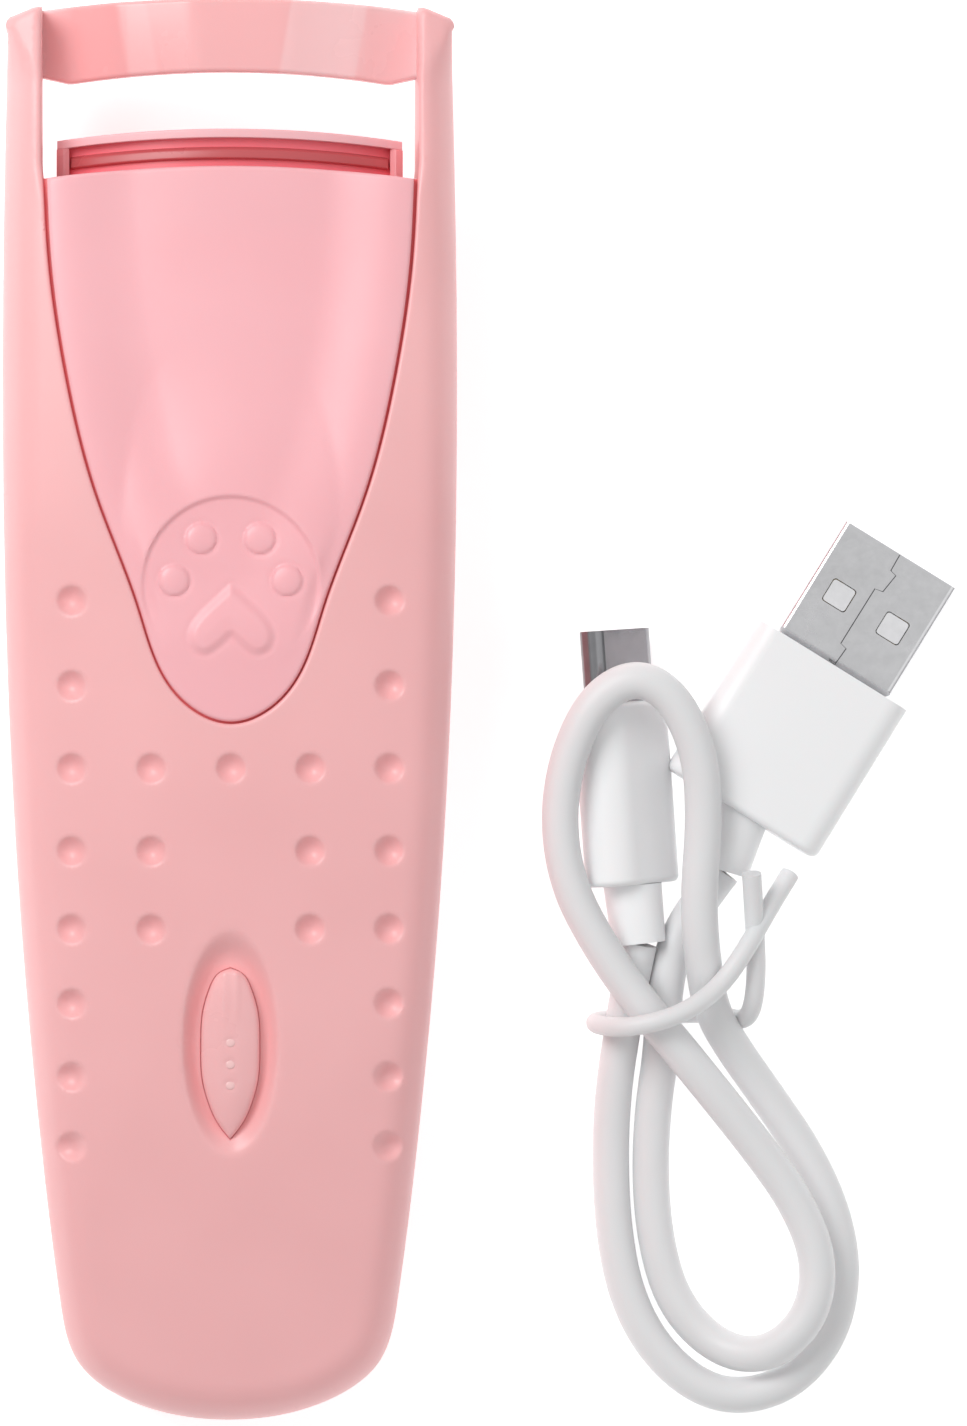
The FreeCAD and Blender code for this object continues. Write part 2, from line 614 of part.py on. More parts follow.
# The lead's route, from the small plug round the outer loop, up and over, and back to the big one.
CORD_ROUTE = [
    (37.9, -21.3, 4.9), (37.1, -25.0, 4.5), (36.4, -29.5, 3.9), (35.7, -34.5, 2.7),
    (35.4, -40.0, 1.8), (35.6, -47.0, 1.8), (36.7, -53.5, 1.8), (39.2, -58.6, 1.8),
    (43.2, -62.4, 1.8), (47.6, -63.6, 1.8), (52.4, -62.0, 1.8), (56.0, -57.6, 1.8),
    (57.1, -52.0, 1.8), (56.2, -46.5, 1.8), (53.6, -40.8, 1.8), (50.0, -35.6, 2.4),
    (46.8, -31.2, 3.6), (44.6, -27.6, 4.9), (43.6, -22.5, 7.3), (43.2, -17.0, 8.3),
    (43.7, -10.0, 9.2), (43.3, -3.8, 10.2), (40.8, 1.6, 11.1), (37.2, 3.5, 11.4),
    (33.4, 1.2, 11.0), (31.0, -4.0, 10.0), (30.2, -10.0, 9.2), (31.2, -16.0, 8.7),
    (34.2, -21.6, 8.2), (37.6, -26.4, 7.8), (41.0, -30.4, 7.3), (44.6, -34.8, 6.6),
    (48.6, -39.8, 5.9), (52.4, -45.0, 5.5), (54.6, -50.4, 5.5), (54.0, -55.4, 5.5),
    (51.0, -58.8, 4.9), (47.6, -59.6, 3.2), (44.2, -58.0, 1.9), (41.2, -54.4, 1.8),
    (39.7, -49.4, 1.8), (39.1, -43.5, 1.8), (39.3, -37.0, 2.2), (40.1, -31.0, 3.5),
    (40.3, -25.6, 3.9), (41.3, -21.2, 3.8), (43.4, -17.6, 4.1), (45.7, -14.6, 4.4),
]

TIE_ROUTE = [
    (51.9, -14.9, 4.6), (49.6, -18.4, 6.4), (47.6, -21.8, 8.2), (45.2, -25.2, 8.6),
    (41.8, -27.6, 10.5), (37.6, -28.8, 10.6), (34.6, -28.9, 8.0), (33.6, -28.6, 4.2),
    (35.2, -28.4, 1.1), (40.0, -28.0, 0.95), (45.0, -27.8, 1.0), (47.6, -28.6, 3.2),
    (48.4, -27.4, 5.6), (48.7, -24.0, 6.6), (48.5, -19.6, 6.9), (48.1, -14.8, 8.6),
]


def turned(shape, angle, x, y, z, roll):
    """Turns a plug that points along +Y round its own axis, then in plan, and places it."""
    shape = shape.copy()
    shape.rotate(V(0, 0, 0), V(0, 1, 0), roll)
    shape.rotate(V(0, 0, 0), V(0, 0, 1), angle)
    shape.translate(V(x, y, z))
    return shape


def rounded_block(w, h, y0, y1, r):
    """A block along Y with rounded long edges and a softened lower end."""
    block = box(-w / 2, w / 2, y0, y1, -h / 2, h / 2)
    block = block.makeFillet(r, [e for e in block.Edges if e.BoundBox.YLength > (y1 - y0) * 0.9])
    return block.makeFillet(0.7, [e for e in block.Edges if e.BoundBox.YLength < 1e-3
                                  and e.BoundBox.YMin < y0 + 0.01])


def strain_relief(place, body, r_plug, r_cord, end):
    """A tapered sleeve from inside the plug's tail to the end of the cord."""
    angle, x, y, z, roll = place
    turn = math.radians(angle)
    tail = V(x + math.sin(turn) * body, y - math.cos(turn) * body, z)
    way = V(*end) - tail
    root = tail - way * (1.0 / way.Length)
    sleeve = Part.makeCone(r_plug, r_cord, way.Length + 1.0, root, way)
    return sleeve.cut(turned(box(-9, 9, -body, 0, -9, 9), *place))


def usb_a_shell():
    shell = rounded_block(12.0, 4.5, 0, 12.0, 0.5).cut(box(-5.7, 5.7, 0.4, 13, -1.95, 1.95))
    for x in (-2.9, 2.9):
        window = box(x - 1.25, x + 1.25, 4.6, 7.0, -3, 3)
        window = window.makeFillet(0.3, [e for e in window.Edges if e.BoundBox.ZLength > 5])
        shell = shell.cut(window)
    return turned(shell, *A_PLACE)


def usb_a_insulator():
    return turned(box(-5.65, 5.65, 0.5, 11.6, -1.9, -0.1), *A_PLACE)


def usb_a_contacts():
    strips = [box(x - 0.5, x + 0.5, 1.5, 11.0, -0.1, 0.05) for x in (-3.5, -1.1, 1.1, 3.5)]
    return Part.makeCompound([turned(s, *A_PLACE) for s in strips])


def usb_a_overmould():
    return turned(rounded_block(16.0, 8.0, -A_BODY, 0, 2.0), *A_PLACE)


def usb_a_strain_relief():
    return strain_relief(A_PLACE, A_BODY, 2.8, 2.4, CORD_ROUTE[-1])


def usb_c_shell():
    shell = slot_y(8.34, 2.56, 0, 6.7, 0, 0).cut(slot_y(7.7, 1.96, 0.5, 7, 0, 0))
    return turned(shell, *C_PLACE)


def usb_c_overmould():
    body = slot_y(10.2, 5.6, -C_BODY, 0, 0, 0)
    return turned(body.makeFillet(0.6, [e for e in body.Edges if e.BoundBox.YLength < 1e-3]), *C_PLACE)


def usb_c_strain_relief():
    return strain_relief(C_PLACE, C_BODY, 2.75, 2.5, CORD_ROUTE[0])


def charging_cord():
    return tube(CORD_ROUTE, CORD_D)


def cable_tie():
    return tube(TIE_ROUTE, TIE_D)


# ---------------------------------------------------------------- files

PIECES = [front_shell, rear_shell, case_screws, lever_pin, press_lever, return_spring,
          lever_bumper, jaw_carriage, guide_screw, jaw_frame, jaw_screws, heating_strip,
          lash_pad, temperature_sensor, power_button, button_lights, switch_plunger,
          button_switch, circuit_board, board_parts, board_screws, indicator_leds,
          usb_c_socket, usb_c_tongue, battery, battery_pad, battery_leads, heater_leads,
          charging_cord, cable_tie, usb_a_shell, usb_a_insulator, usb_a_contacts,
          usb_a_overmould, usb_a_strain_relief, usb_c_shell, usb_c_overmould,
          usb_c_strain_relief]

for piece in PIECES:
    save(piece.__name__, piece())
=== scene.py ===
import json
import math

import bpy
import numpy as np
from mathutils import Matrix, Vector
from mathutils.geometry import delaunay_2d_cdt


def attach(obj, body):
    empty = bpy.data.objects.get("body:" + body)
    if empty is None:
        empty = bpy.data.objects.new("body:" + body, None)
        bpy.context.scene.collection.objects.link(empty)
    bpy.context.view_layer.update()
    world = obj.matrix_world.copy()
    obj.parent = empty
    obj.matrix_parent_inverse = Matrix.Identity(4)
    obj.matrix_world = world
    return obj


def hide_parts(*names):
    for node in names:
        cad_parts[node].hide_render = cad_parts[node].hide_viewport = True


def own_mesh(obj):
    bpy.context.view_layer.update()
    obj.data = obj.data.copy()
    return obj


# A heated eyelash curler lying on its back, with its charging lead beside it.
# The scene is in metres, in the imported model's own frame. Shapes are worked out in millimetres.
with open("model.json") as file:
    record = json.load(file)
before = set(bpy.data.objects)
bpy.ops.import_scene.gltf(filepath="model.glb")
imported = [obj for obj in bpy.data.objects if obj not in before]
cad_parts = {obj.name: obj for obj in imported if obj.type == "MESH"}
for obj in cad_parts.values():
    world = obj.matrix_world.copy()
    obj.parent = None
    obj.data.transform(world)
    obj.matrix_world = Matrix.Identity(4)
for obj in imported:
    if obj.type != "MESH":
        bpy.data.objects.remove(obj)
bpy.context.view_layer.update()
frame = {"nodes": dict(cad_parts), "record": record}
MM = 0.001

# ---------------- camera

AIM = Vector((0.0233, 0.0, 0.011))
CAMERA = Vector((-0.0107, 0.0, 0.90))
SEEN_HEIGHT = 0.1308


def make_camera():
    data = bpy.data.cameras.new("camera")
    data.sensor_width = 36.0
    data.lens = 36.0 * (CAMERA - AIM).length / SEEN_HEIGHT
    data.clip_start, data.clip_end = 0.01, 10.0
    camera = bpy.data.objects.new("camera", data)
    camera.location = CAMERA
    camera.rotation_euler = (0.0, -math.atan2(AIM.x - CAMERA.x, CAMERA.z - AIM.z), 0.0)
    bpy.context.scene.collection.objects.link(camera)
    bpy.context.scene.camera = camera
    bpy.context.scene.view_settings.view_transform = "Standard"


make_camera()

# ---------------- helpers


def link(obj):
    bpy.context.scene.collection.objects.link(obj)
    return obj


def mesh_object(name, verts, faces, material, sharp=None):
    """A mesh with its vertices in millimetres: smooth up to the sharp angle, or flat without one."""
    mesh = bpy.data.meshes.new(name)
    mesh.from_pydata([tuple(v) for v in np.array(verts) * MM], [], [tuple(f) for f in faces])
    mesh.validate()
    mesh.update()
    mesh.polygons.foreach_set("use_smooth", [sharp is not None] * len(mesh.polygons))
    if sharp is not None:
        mesh.set_sharp_from_angle(angle=math.radians(sharp))
    mesh.materials.append(MATERIALS[material])
    return link(bpy.data.objects.new(name, mesh))


def place(obj, body, stands_for=None):
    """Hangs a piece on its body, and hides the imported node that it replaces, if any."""
    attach(obj, body)
    if stands_for:
        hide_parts(stands_for)


def nurbs(name, points, diameter, material, bevel=10):
    """A round cord along a NURBS line whose points are in millimetres."""
    curve = bpy.data.curves.new(name, "CURVE")
    curve.dimensions = "3D"
    curve.bevel_depth = diameter / 2
    curve.bevel_resolution = bevel
    curve.resolution_u = 12
    curve.use_fill_caps = True
    spline = curve.splines.new("NURBS")
    spline.points.add(len(points) - 1)
    for point, at in zip(spline.points, points):
        point.co = (at[0] * MM, at[1] * MM, at[2] * MM, 1.0)
    spline.order_u = 3
    spline.use_endpoint_u = True
    curve.materials.append(MATERIALS[material])
    return link(bpy.data.objects.new(name, curve))


def tube_faces(count, size):
    """The faces of a closed tube whose vertices are rings of one size, one after another."""
    faces = []
    for i in range(count - 1):
        for k in range(size):
            a, b = i * size + k, i * size + (k + 1) % size
            faces.append((a, b, b + size, a + size))
    faces.append(tuple(range(size))[::-1])
    faces.append(tuple((count - 1) * size + k for k in range(size)))
    return faces


def turned(faces):
    """The same faces, looking the other way."""
    return [face[::-1] for face in faces]


# ---------------- materials

# How fine the drifts of tone, the uneven gloss and the moulded grain are.
DRIFT_SCALE, GLOSS_SCALE, GRAIN_SCALE = 45.0, 160.0, 4200.0
METAL_GRAIN_SCALE, METAL_GLOSS_SCALE = 900.0, 220.0
SCATTER_RADIUS, SCATTER_SCALE = (1.0, 0.45, 0.4), 0.0015

MATERIALS = {}


class Nodes:
    """A new material's node tree, with short calls for the nodes used here."""

    def __init__(self, name):
        material = MATERIALS[name] = bpy.data.materials.new(name + "_finish")
        material.use_nodes = True
        self.tree = material.node_tree
        self.tree.nodes.clear()
        self.shader = self.add("ShaderNodeBsdfPrincipled")
        out = self.add("ShaderNodeOutputMaterial")
        self.join(self.shader.outputs["BSDF"], out.inputs["Surface"])
        self.place = self.add("ShaderNodeTexCoord").outputs["Object"]

    def add(self, kind, **values):
        """A new node, with its named inputs set."""
        node = self.tree.nodes.new(kind)
        self.fill(node, values)
        return node

    def fill(self, node, values):
        for key, value in values.items():
            node.inputs[key.replace("_", " ")].default_value = value

    def join(self, a, b):
        self.tree.links.new(a, b)

    def set(self, **values):
        self.fill(self.shader, values)

    def noise(self, scale, detail=3.0, rough=0.5):
        noise = self.add("ShaderNodeTexNoise", Scale=scale, Detail=detail, Roughness=rough)
        self.join(self.place, noise.inputs["Vector"])
        return noise.outputs["Fac"]

    def ramp(self, source, stops):
        ramp = self.add("ShaderNodeValToRGB")
        while len(ramp.color_ramp.elements) < len(stops):
            ramp.color_ramp.elements.new(0.5)
        for element, (at, colour) in zip(ramp.color_ramp.elements, stops):
            element.position = at
            element.color = (*colour, 1.0)
        self.join(source, ramp.inputs["Fac"])
        return ramp.outputs["Color"]

    def range(self, source, low, high, start=0.3, end=0.7):
        node = self.add("ShaderNodeMapRange", From_Min=start, From_Max=end, To_Min=low, To_Max=high)
        self.join(source, node.inputs["Value"])
        return node.outputs["Result"]

    def math(self, operation, *sources):
        node = self.add("ShaderNodeMath")
        node.operation = operation
        for source, socket in zip(sources, node.inputs):
            self.join(source, socket)
        return node.outputs["Value"]

    def scatter(self, weight):
        self.set(Subsurface_Weight=weight, Subsurface_Scale=SCATTER_SCALE,
                 Subsurface_Radius=SCATTER_RADIUS)

    def bump(self, source, strength, depth):
        node = self.add("ShaderNodeBump", Strength=strength, Distance=depth)
        self.join(source, node.inputs["Height"])
        self.join(node.outputs["Normal"], self.shader.inputs["Normal"])


def linear(r, g, b):
    """A colour given as it looks on a screen, 0 to 255."""
    return tuple(((c / 255 + 0.055) / 1.055) ** 2.4 if c > 10 else c / 255 / 12.92 for c in (r, g, b))


def shade(colour, k):
    return tuple(min(1.0, c * k) for c in colour)


def plastic(name, colour, rough=0.3, vary=0.04, grain=0.00001, coat=0.0, subsurface=0.0):
    """Moulded plastic: slow drifts of tone, a fine moulded grain and uneven gloss."""
    n = Nodes(name)
    drift = n.noise(DRIFT_SCALE, 2.0)
    n.join(n.ramp(drift, [(0.3, shade(colour, 1 - vary)), (0.7, shade(colour, 1 + vary))]),
           n.shader.inputs["Base Color"])
    n.join(n.range(n.noise(GLOSS_SCALE, 4.0), rough - 0.05, rough + 0.06), n.shader.inputs["Roughness"])
    n.bump(n.noise(GRAIN_SCALE, 2.0), 0.25, grain)
    n.set(IOR=1.47, Coat_Weight=coat, Coat_Roughness=0.12)
    if subsurface:
        n.scatter(subsurface)


def metal(name, colour, rough=0.25):
    """Plated metal: a fine speckle in tone and height, and patchy gloss."""
    n = Nodes(name)
    speckle = n.noise(METAL_GRAIN_SCALE, 3.0, 0.6)
    n.join(n.ramp(speckle, [(0.3, shade(colour, 0.95)), (0.7, shade(colour, 1.03))]),
           n.shader.inputs["Base Color"])
    n.join(n.range(n.noise(METAL_GLOSS_SCALE, 4.0), rough - 0.03, rough + 0.04),
           n.shader.inputs["Roughness"])
    n.bump(speckle, 0.2, 0.000006)
    n.set(Metallic=1.0)


# Brightness of the crossbar's bands along it, from left to right, and how they lean: painted reflections and
# shade of the glossy curved bar, with painted light at both ends that lifts the posts' shadow.
BAR_PAINTED_BANDS = [(0.0, 1.3), (0.07, 1.1), (0.12, 0.92), (0.225, 0.86), (0.24, 0.98), (0.3, 1.0),
             (0.31, 0.94), (0.41, 0.98), (0.632, 0.98), (0.642, 1.12), (0.823, 1.2), (0.833, 1.12),
             (0.92, 1.3), (1.0, 1.6)]
BANDS_HALF, BANDS_LEAN, BANDS_LOW_Y, BANDS_TOP_Y = 0.0183, 0.0006, 0.058, 0.065


def band_colour(colour, k):
    """A lighter or darker tone of the pink: green and blue change more than red does."""
    red, green, blue = colour
    return min(1, red * k ** 0.4), min(1, green * k ** 1.3), min(1, blue * k ** 1.3)


def painted_shading_plastic(name, colour):
    """Moulded plastic with painted reflections and shade: soft upright bands of lighter and darker tone that
    lean outwards towards the top.
    """
    n = Nodes(name)
    split = n.add("ShaderNodeSeparateXYZ")
    n.join(n.place, split.inputs["Vector"])
    x, y = split.outputs["X"], split.outputs["Y"]
    lean = n.range(y, -BANDS_LEAN, BANDS_LEAN, BANDS_LOW_Y, BANDS_TOP_Y)
    moved = n.math("MULTIPLY", n.math("SIGN", x), lean)
    along = n.range(n.math("SUBTRACT", x, moved), 0.0, 1.0, -BANDS_HALF, BANDS_HALF)
    stops = [(at, band_colour(colour, k)) for at, k in BAR_PAINTED_BANDS]
    n.join(n.ramp(along, stops), n.shader.inputs["Base Color"])
    n.join(n.range(n.noise(GLOSS_SCALE, 4.0), 0.2, 0.3), n.shader.inputs["Roughness"])
    n.bump(n.noise(GRAIN_SCALE, 2.0), 0.2, 0.00001)
    n.set(IOR=1.47)
    n.scatter(0.15)


SHELL_PINK = linear(252, 187, 188)
LEVER_PINK = linear(255, 185, 191)
JAW_PINK = linear(244, 160, 165)

plastic("shell_pink", SHELL_PINK, 0.33, subsurface=0.12)
plastic("rear_pink", shade(SHELL_PINK, 0.97), 0.36, subsurface=0.12)
plastic("lever_pink", LEVER_PINK, 0.34, subsurface=0.12)
plastic("jaw_pink", JAW_PINK, 0.3, subsurface=0.1)
plastic("pad_silicone", linear(250, 192, 197), 0.5, 0.06, 0.00003, subsurface=0.2)
plastic("heater_strip", linear(198, 92, 96), 0.3, 0.05)
plastic("button_pink", shade(SHELL_PINK, 1.04), 0.3, subsurface=0.12)
plastic("light_window", linear(250, 203, 202), 0.3, 0.03)
metal("steel", linear(186, 186, 190), 0.28)
metal("spring_steel", linear(170, 170, 176), 0.3)
plastic("bumper_rubber", linear(52, 50, 52), 0.7, 0.1, 0.00004)
plastic("carriage_plastic", linear(226, 222, 216), 0.45, 0.03)
plastic("board", linear(38, 96, 62), 0.35, 0.14, 0.00002, coat=0.3)
plastic("black_plastic", linear(44, 44, 46), 0.5, 0.1, 0.00003)
plastic("led", linear(250, 240, 205), 0.2, 0.03, coat=0.5)
plastic("cell_wrap", linear(120, 150, 178), 0.25, 0.06, coat=0.4)
plastic("foam", linear(92, 92, 96), 0.9, 0.16, 0.00008)
plastic("lead_red", linear(190, 48, 44), 0.4, 0.06)
plastic("cord_white", linear(231, 231, 232), 0.42, 0.015, 0.000012, subsurface=0.08)
plastic("plug_white", linear(246, 246, 247), 0.38, 0.015, 0.000012, subsurface=0.08)
metal("plug_steel", linear(224, 224, 226), 0.24)
# A darker copy of the plug steel, painted dark for the dark reflections on the small plug's shell.
metal("plug_steel_painted_dark", linear(150, 150, 153), 0.2)
metal("tongue_steel", linear(242, 242, 244), 0.36)
plastic("seam_grey", linear(84, 84, 86), 0.5, 0.08)
# A red painted on the ledges behind the lever's gap, for the reddish shade seen in the gap.
plastic("gap_painted_shade", linear(244, 120, 124), 0.4, subsurface=0.2)
# The crossbar's pink, with painted reflections and shade in bands across it.
painted_shading_plastic("bar_painted_shading", SHELL_PINK)
# A redder pink painted in the jaw's slot for the shade and bounced pink light in its groove.
plastic("slot_painted_shade", linear(255, 122, 134), 0.35, subsurface=0.15)
metal("contact_gold", linear(222, 186, 104), 0.25)

SLOT_OF = {part["node"]: part["material_slot"] for part in frame["record"]["subparts"]}


def dress_nodes():
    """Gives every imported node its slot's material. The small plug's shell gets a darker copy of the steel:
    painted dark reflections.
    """
    for name, obj in frame["nodes"].items():
        material = MATERIALS["plug_steel_painted_dark" if name == "usb_c_shell" else SLOT_OF[name]]
        if not obj.material_slots:
            obj.data.materials.append(material)
        for slot in obj.material_slots:
            slot.material = material


dress_nodes()

# ---------------- charging lead

CORD_D, TIE_D = 3.4, 1.8
CORD_ROUTE = [
    (37.9, -21.3, 4.9), (37.1, -25.0, 4.5), (36.4, -29.5, 3.9), (35.7, -34.5, 2.7),
    (35.4, -40.0, 1.8), (35.6, -47.0, 1.8), (36.7, -53.5, 1.8), (39.2, -58.6, 1.8),
    (43.2, -62.4, 1.8), (47.6, -63.6, 1.8), (52.4, -62.0, 1.8), (56.0, -57.6, 1.8),
    (57.1, -52.0, 1.8), (56.2, -46.5, 1.8), (53.6, -40.8, 1.8), (50.0, -35.6, 2.4),
    (46.8, -31.2, 3.6), (44.6, -27.6, 4.9), (43.6, -22.5, 7.3), (43.2, -17.0, 8.3),
    (43.7, -10.0, 9.2), (43.3, -3.8, 10.2), (40.8, 1.6, 11.1), (37.2, 3.5, 11.4),
    (33.4, 1.2, 11.0), (31.0, -4.0, 10.0), (30.2, -10.0, 9.2), (31.2, -16.0, 8.7),
    (34.2, -21.6, 8.2), (37.6, -26.4, 7.8), (41.0, -30.4, 7.3), (44.6, -34.8, 6.6),
    (48.6, -39.8, 5.9), (52.4, -45.0, 5.5), (54.6, -50.4, 5.5), (54.0, -55.4, 5.5),
    (51.0, -58.8, 4.9), (47.6, -59.6, 3.2), (44.2, -58.0, 1.9), (41.2, -54.4, 1.8),
    (39.7, -49.4, 1.8), (39.1, -43.5, 1.8), (39.3, -37.0, 2.2), (40.1, -31.0, 3.5),
    (40.3, -25.6, 3.9), (41.3, -21.2, 3.8), (43.4, -17.6, 4.1), (45.7, -14.6, 4.4),
]
TIE_ROUTE = [
    (51.9, -14.9, 4.6), (49.6, -18.4, 6.4), (47.6, -21.8, 8.2), (45.2, -25.2, 8.6),
    (41.8, -27.6, 10.5), (37.6, -28.8, 10.6), (34.6, -28.9, 8.0), (33.6, -28.6, 4.2),
    (35.2, -28.4, 1.1), (40.0, -28.0, 0.95), (45.0, -27.8, 1.0), (47.6, -28.6, 3.2),
    (48.4, -27.4, 5.6), (48.7, -24.0, 6.6), (48.5, -19.6, 6.9), (48.1, -14.8, 8.6),
]


def make_cord():
    cord = nurbs("charging_cord_line", CORD_ROUTE, CORD_D * MM, "cord_white")
    place(cord, "charging_cable", "charging_cord")
    tie = nurbs("cable_tie_line", TIE_ROUTE, TIE_D * MM, "cord_white", 8)
    place(tie, "charging_cable", "cable_tie")


make_cord()

# ---------------- shapes in plan, in millimetres

LENGTH = 130.0
CROWN_RADIUS = 68.0
PART_LINE_Z = 7.0
WALL = 2.0
SIDE = [(19.9, 74.0), (20.65, 40.0), (20.5, 12.0), (19.2, -17.0), (17.65, -35.6),
        (15.5, -54.0), (13.9, -59.6), (9.0, -63.3), (0.0, -65.0)]
SHOULDER = [(-20.43, 62.4), (-20.25, 63.05), (-19.7, 63.4)]
ARCH_END = (17.6, 64.25)
FRONT = [(-70.0, 9.8), (-58.0, 13.0), (-40.0, 17.0), (-15.0, 20.9), (15.0, 22.9),
         (40.0, 22.6), (78.0, 19.2)]
U_SIDE = [(17.0, 49.0), (16.6, 41.5), (15.1, 31.0), (12.2, 19.5), (8.5, 9.6), (4.9, 1.5),
          (0.0, -1.0)]
WINDOW_HALF, WINDOW_LOW, WINDOW_TOP = 17.1, 50.0, 66.0

# The lever's own ends, how far it stands off its opening, its top's arch, and its hinge.
LEVER_TOP, LEVER_LOW, LEVER_GAP, LEVER_ARCH = 48.5, -0.78, 0.35, 1.15
PIVOT_Y = 34.0

# Where a ledge closes the lever's gap from behind, the part in front of it is this thick, this far in.
RIM_THICK, RIM_LAP = 0.6, 1.1

BUTTON_LEAF = [(0.0, -23.2), (1.05, -23.65), (1.9, -25.1), (2.45, -27.0), (2.65, -30.2),
               (2.45, -33.7), (1.95, -35.5), (1.2, -37.2), (0.0, -38.8)]
BUTTON_GAP = 0.1
BUTTON_Y, RECESS_HALF_X, RECESS_HALF_Y, RECESS_DEEP = -30.0, 4.25, 9.85, 1.5
DIMPLE_R, DIMPLE_DEEP = 1.4, 0.95
DIMPLE_ROWS_Y = (10.2, 2.5, -5.0, -12.5, -19.6, -26.4, -33.1, -39.5)
DIMPLE_OUTER_X, DIMPLE_INNER_X = 14.4, 7.2


def smooth_line(points, per=24):
    """A natural cubic spline through the points, as a dense line."""
    p = np.array(points, float)
    h = np.linalg.norm(np.diff(p, axis=0), axis=1)
    n = len(p)
    a, b = np.eye(n), np.zeros_like(p)
    for i in range(1, n - 1):
        a[i, i - 1:i + 2] = h[i - 1], 2 * (h[i - 1] + h[i]), h[i]
        b[i] = 6 * ((p[i + 1] - p[i]) / h[i] - (p[i] - p[i - 1]) / h[i - 1])
    m = np.linalg.solve(a, b)
    out = []
    for i in range(n - 1):
        s = np.linspace(0, h[i], per, endpoint=False)[:, None]
        r = h[i] - s
        out.append((m[i] * r ** 3 + m[i + 1] * s ** 3) / (6 * h[i])
                   + (p[i] / h[i] - m[i] * h[i] / 6) * r
                   + (p[i + 1] / h[i] - m[i + 1] * h[i] / 6) * s)
    return np.concatenate(out + [p[-1:]])


def both_sides(half):
    """A chain down the right side, round its last point and up the left side."""
    return list(half) + [(-x, y) for x, y in reversed(half[:-1])]


def even(line, step):
    """The same line with its points the same distance apart."""
    line = np.asarray(line, float)
    along = np.concatenate([[0], np.cumsum(np.linalg.norm(np.diff(line, axis=0), axis=1))])
    at = np.linspace(0, along[-1], max(3, int(round(along[-1] / step)) + 1))
    return np.stack([np.interp(at, along, line[:, k]) for k in range(line.shape[1])], axis=1)


def smooth_step(t):
    t = np.clip(t, 0, 1)
    return t * t * (3 - 2 * t)


def arc_through(a, b, c, count=40):
    """Points on the circle through three points, from the first to the last."""
    a, b, c = (np.array(p[:2], float) for p in (a, b, c))
    rows = np.array([2 * (b - a), 2 * (c - a)])
    centre = np.linalg.solve(rows, [b @ b - a @ a, c @ c - a @ a])
    angles = [math.atan2(*(p - centre)[::-1]) for p in (a, b, c)]
    mid = (angles[1] - angles[0] + math.pi) % (2 * math.pi) - math.pi
    end = mid + (angles[2] - angles[1] + math.pi) % (2 * math.pi) - math.pi
    turn = angles[0] + np.linspace(0, end, count)
    radius = np.linalg.norm(a - centre)
    return centre + radius * np.stack([np.cos(turn), np.sin(turn)], axis=1)


FRONT_LINE = smooth_line(FRONT)


def front_z(x, y):
    """Height of the handle's crowned front."""
    crown = CROWN_RADIUS - np.sqrt(CROWN_RADIUS ** 2 - np.minimum(np.abs(x), 40) ** 2)
    return np.interp(y, FRONT_LINE[:, 0], FRONT_LINE[:, 1]) - crown


def inside(points, loop):
    """Which points lie inside a closed loop, by the even-odd rule."""
    x0, y0 = loop[:, 0], loop[:, 1]
    x1, y1 = np.roll(x0, -1), np.roll(y0, -1)
    result = np.zeros(len(points), bool)
    for start in range(0, len(points), 4000):
        px, py = points[start:start + 4000, 0, None], points[start:start + 4000, 1, None]
        across = (y0 > py) != (y1 > py)
        rise = np.where(y1 == y0, 1e-12, y1 - y0)
        hit = across & (px < (x1 - x0) * (py - y0) / rise + x0)
        result[start:start + 4000] = hit.sum(axis=1) % 2 == 1
    return result


def nearest(points, loop):
    """Each point's distance to a closed loop."""
    a, b = loop, np.roll(loop, -1, axis=0)
    way = b - a
    size = (way ** 2).sum(axis=1) + 1e-12
    out = np.empty(len(points))
    for start in range(0, len(points), 2000):
        p = points[start:start + 2000, None, :]
        t = np.clip(((p - a) * way).sum(axis=2) / size, 0, 1)
        gap = p - (a + t[..., None] * way)
        out[start:start + 2000] = np.sqrt((gap ** 2).sum(axis=2)).min(axis=1)
    return out


def signed_area(loop):
    """Twice the area inside a closed loop, positive when it runs anticlockwise."""
    ahead = np.roll(loop, -1, axis=0)
    return np.sum(loop[:, 0] * ahead[:, 1] - ahead[:, 0] * loop[:, 1])


def offset_rows(loop, offsets, inward):
    """Points beside a closed loop at each distance, on its inner or its outer side."""
    way = np.roll(loop, -1, axis=0) - np.roll(loop, 1, axis=0)
    way /= np.linalg.norm(way, axis=1)[:, None] + 1e-12
    normal = np.stack([-way[:, 1], way[:, 0]], axis=1)
    if (signed_area(loop) > 0) != inward:
        normal = -normal
    rows = []
    for k, off in enumerate(offsets):
        # Every other row starts one point later, so the rows have no common first point.
        moved = (loop + normal * off)[k % 2:]
        rows.append(moved[nearest(moved, loop) > off * 0.985])
    return rows


def staggered_grid(low, high, step):
    """Points in rows between two corners, every other row shifted by half a step."""
    rows = []
    for i, y in enumerate(np.arange(low[1], high[1], step * math.sqrt(3) / 2)):
        x = np.arange(low[0] + (i % 2) * step / 2, high[0], step)
        rows.append(np.stack([x, np.full(len(x), y)], axis=1))
    return np.concatenate(rows)


def between(points, loops):
    """Which points lie inside the first loop and outside the others."""
    ok = inside(points, loops[0])
    for loop in loops[1:]:
        ok &= ~inside(points, loop)
    return ok


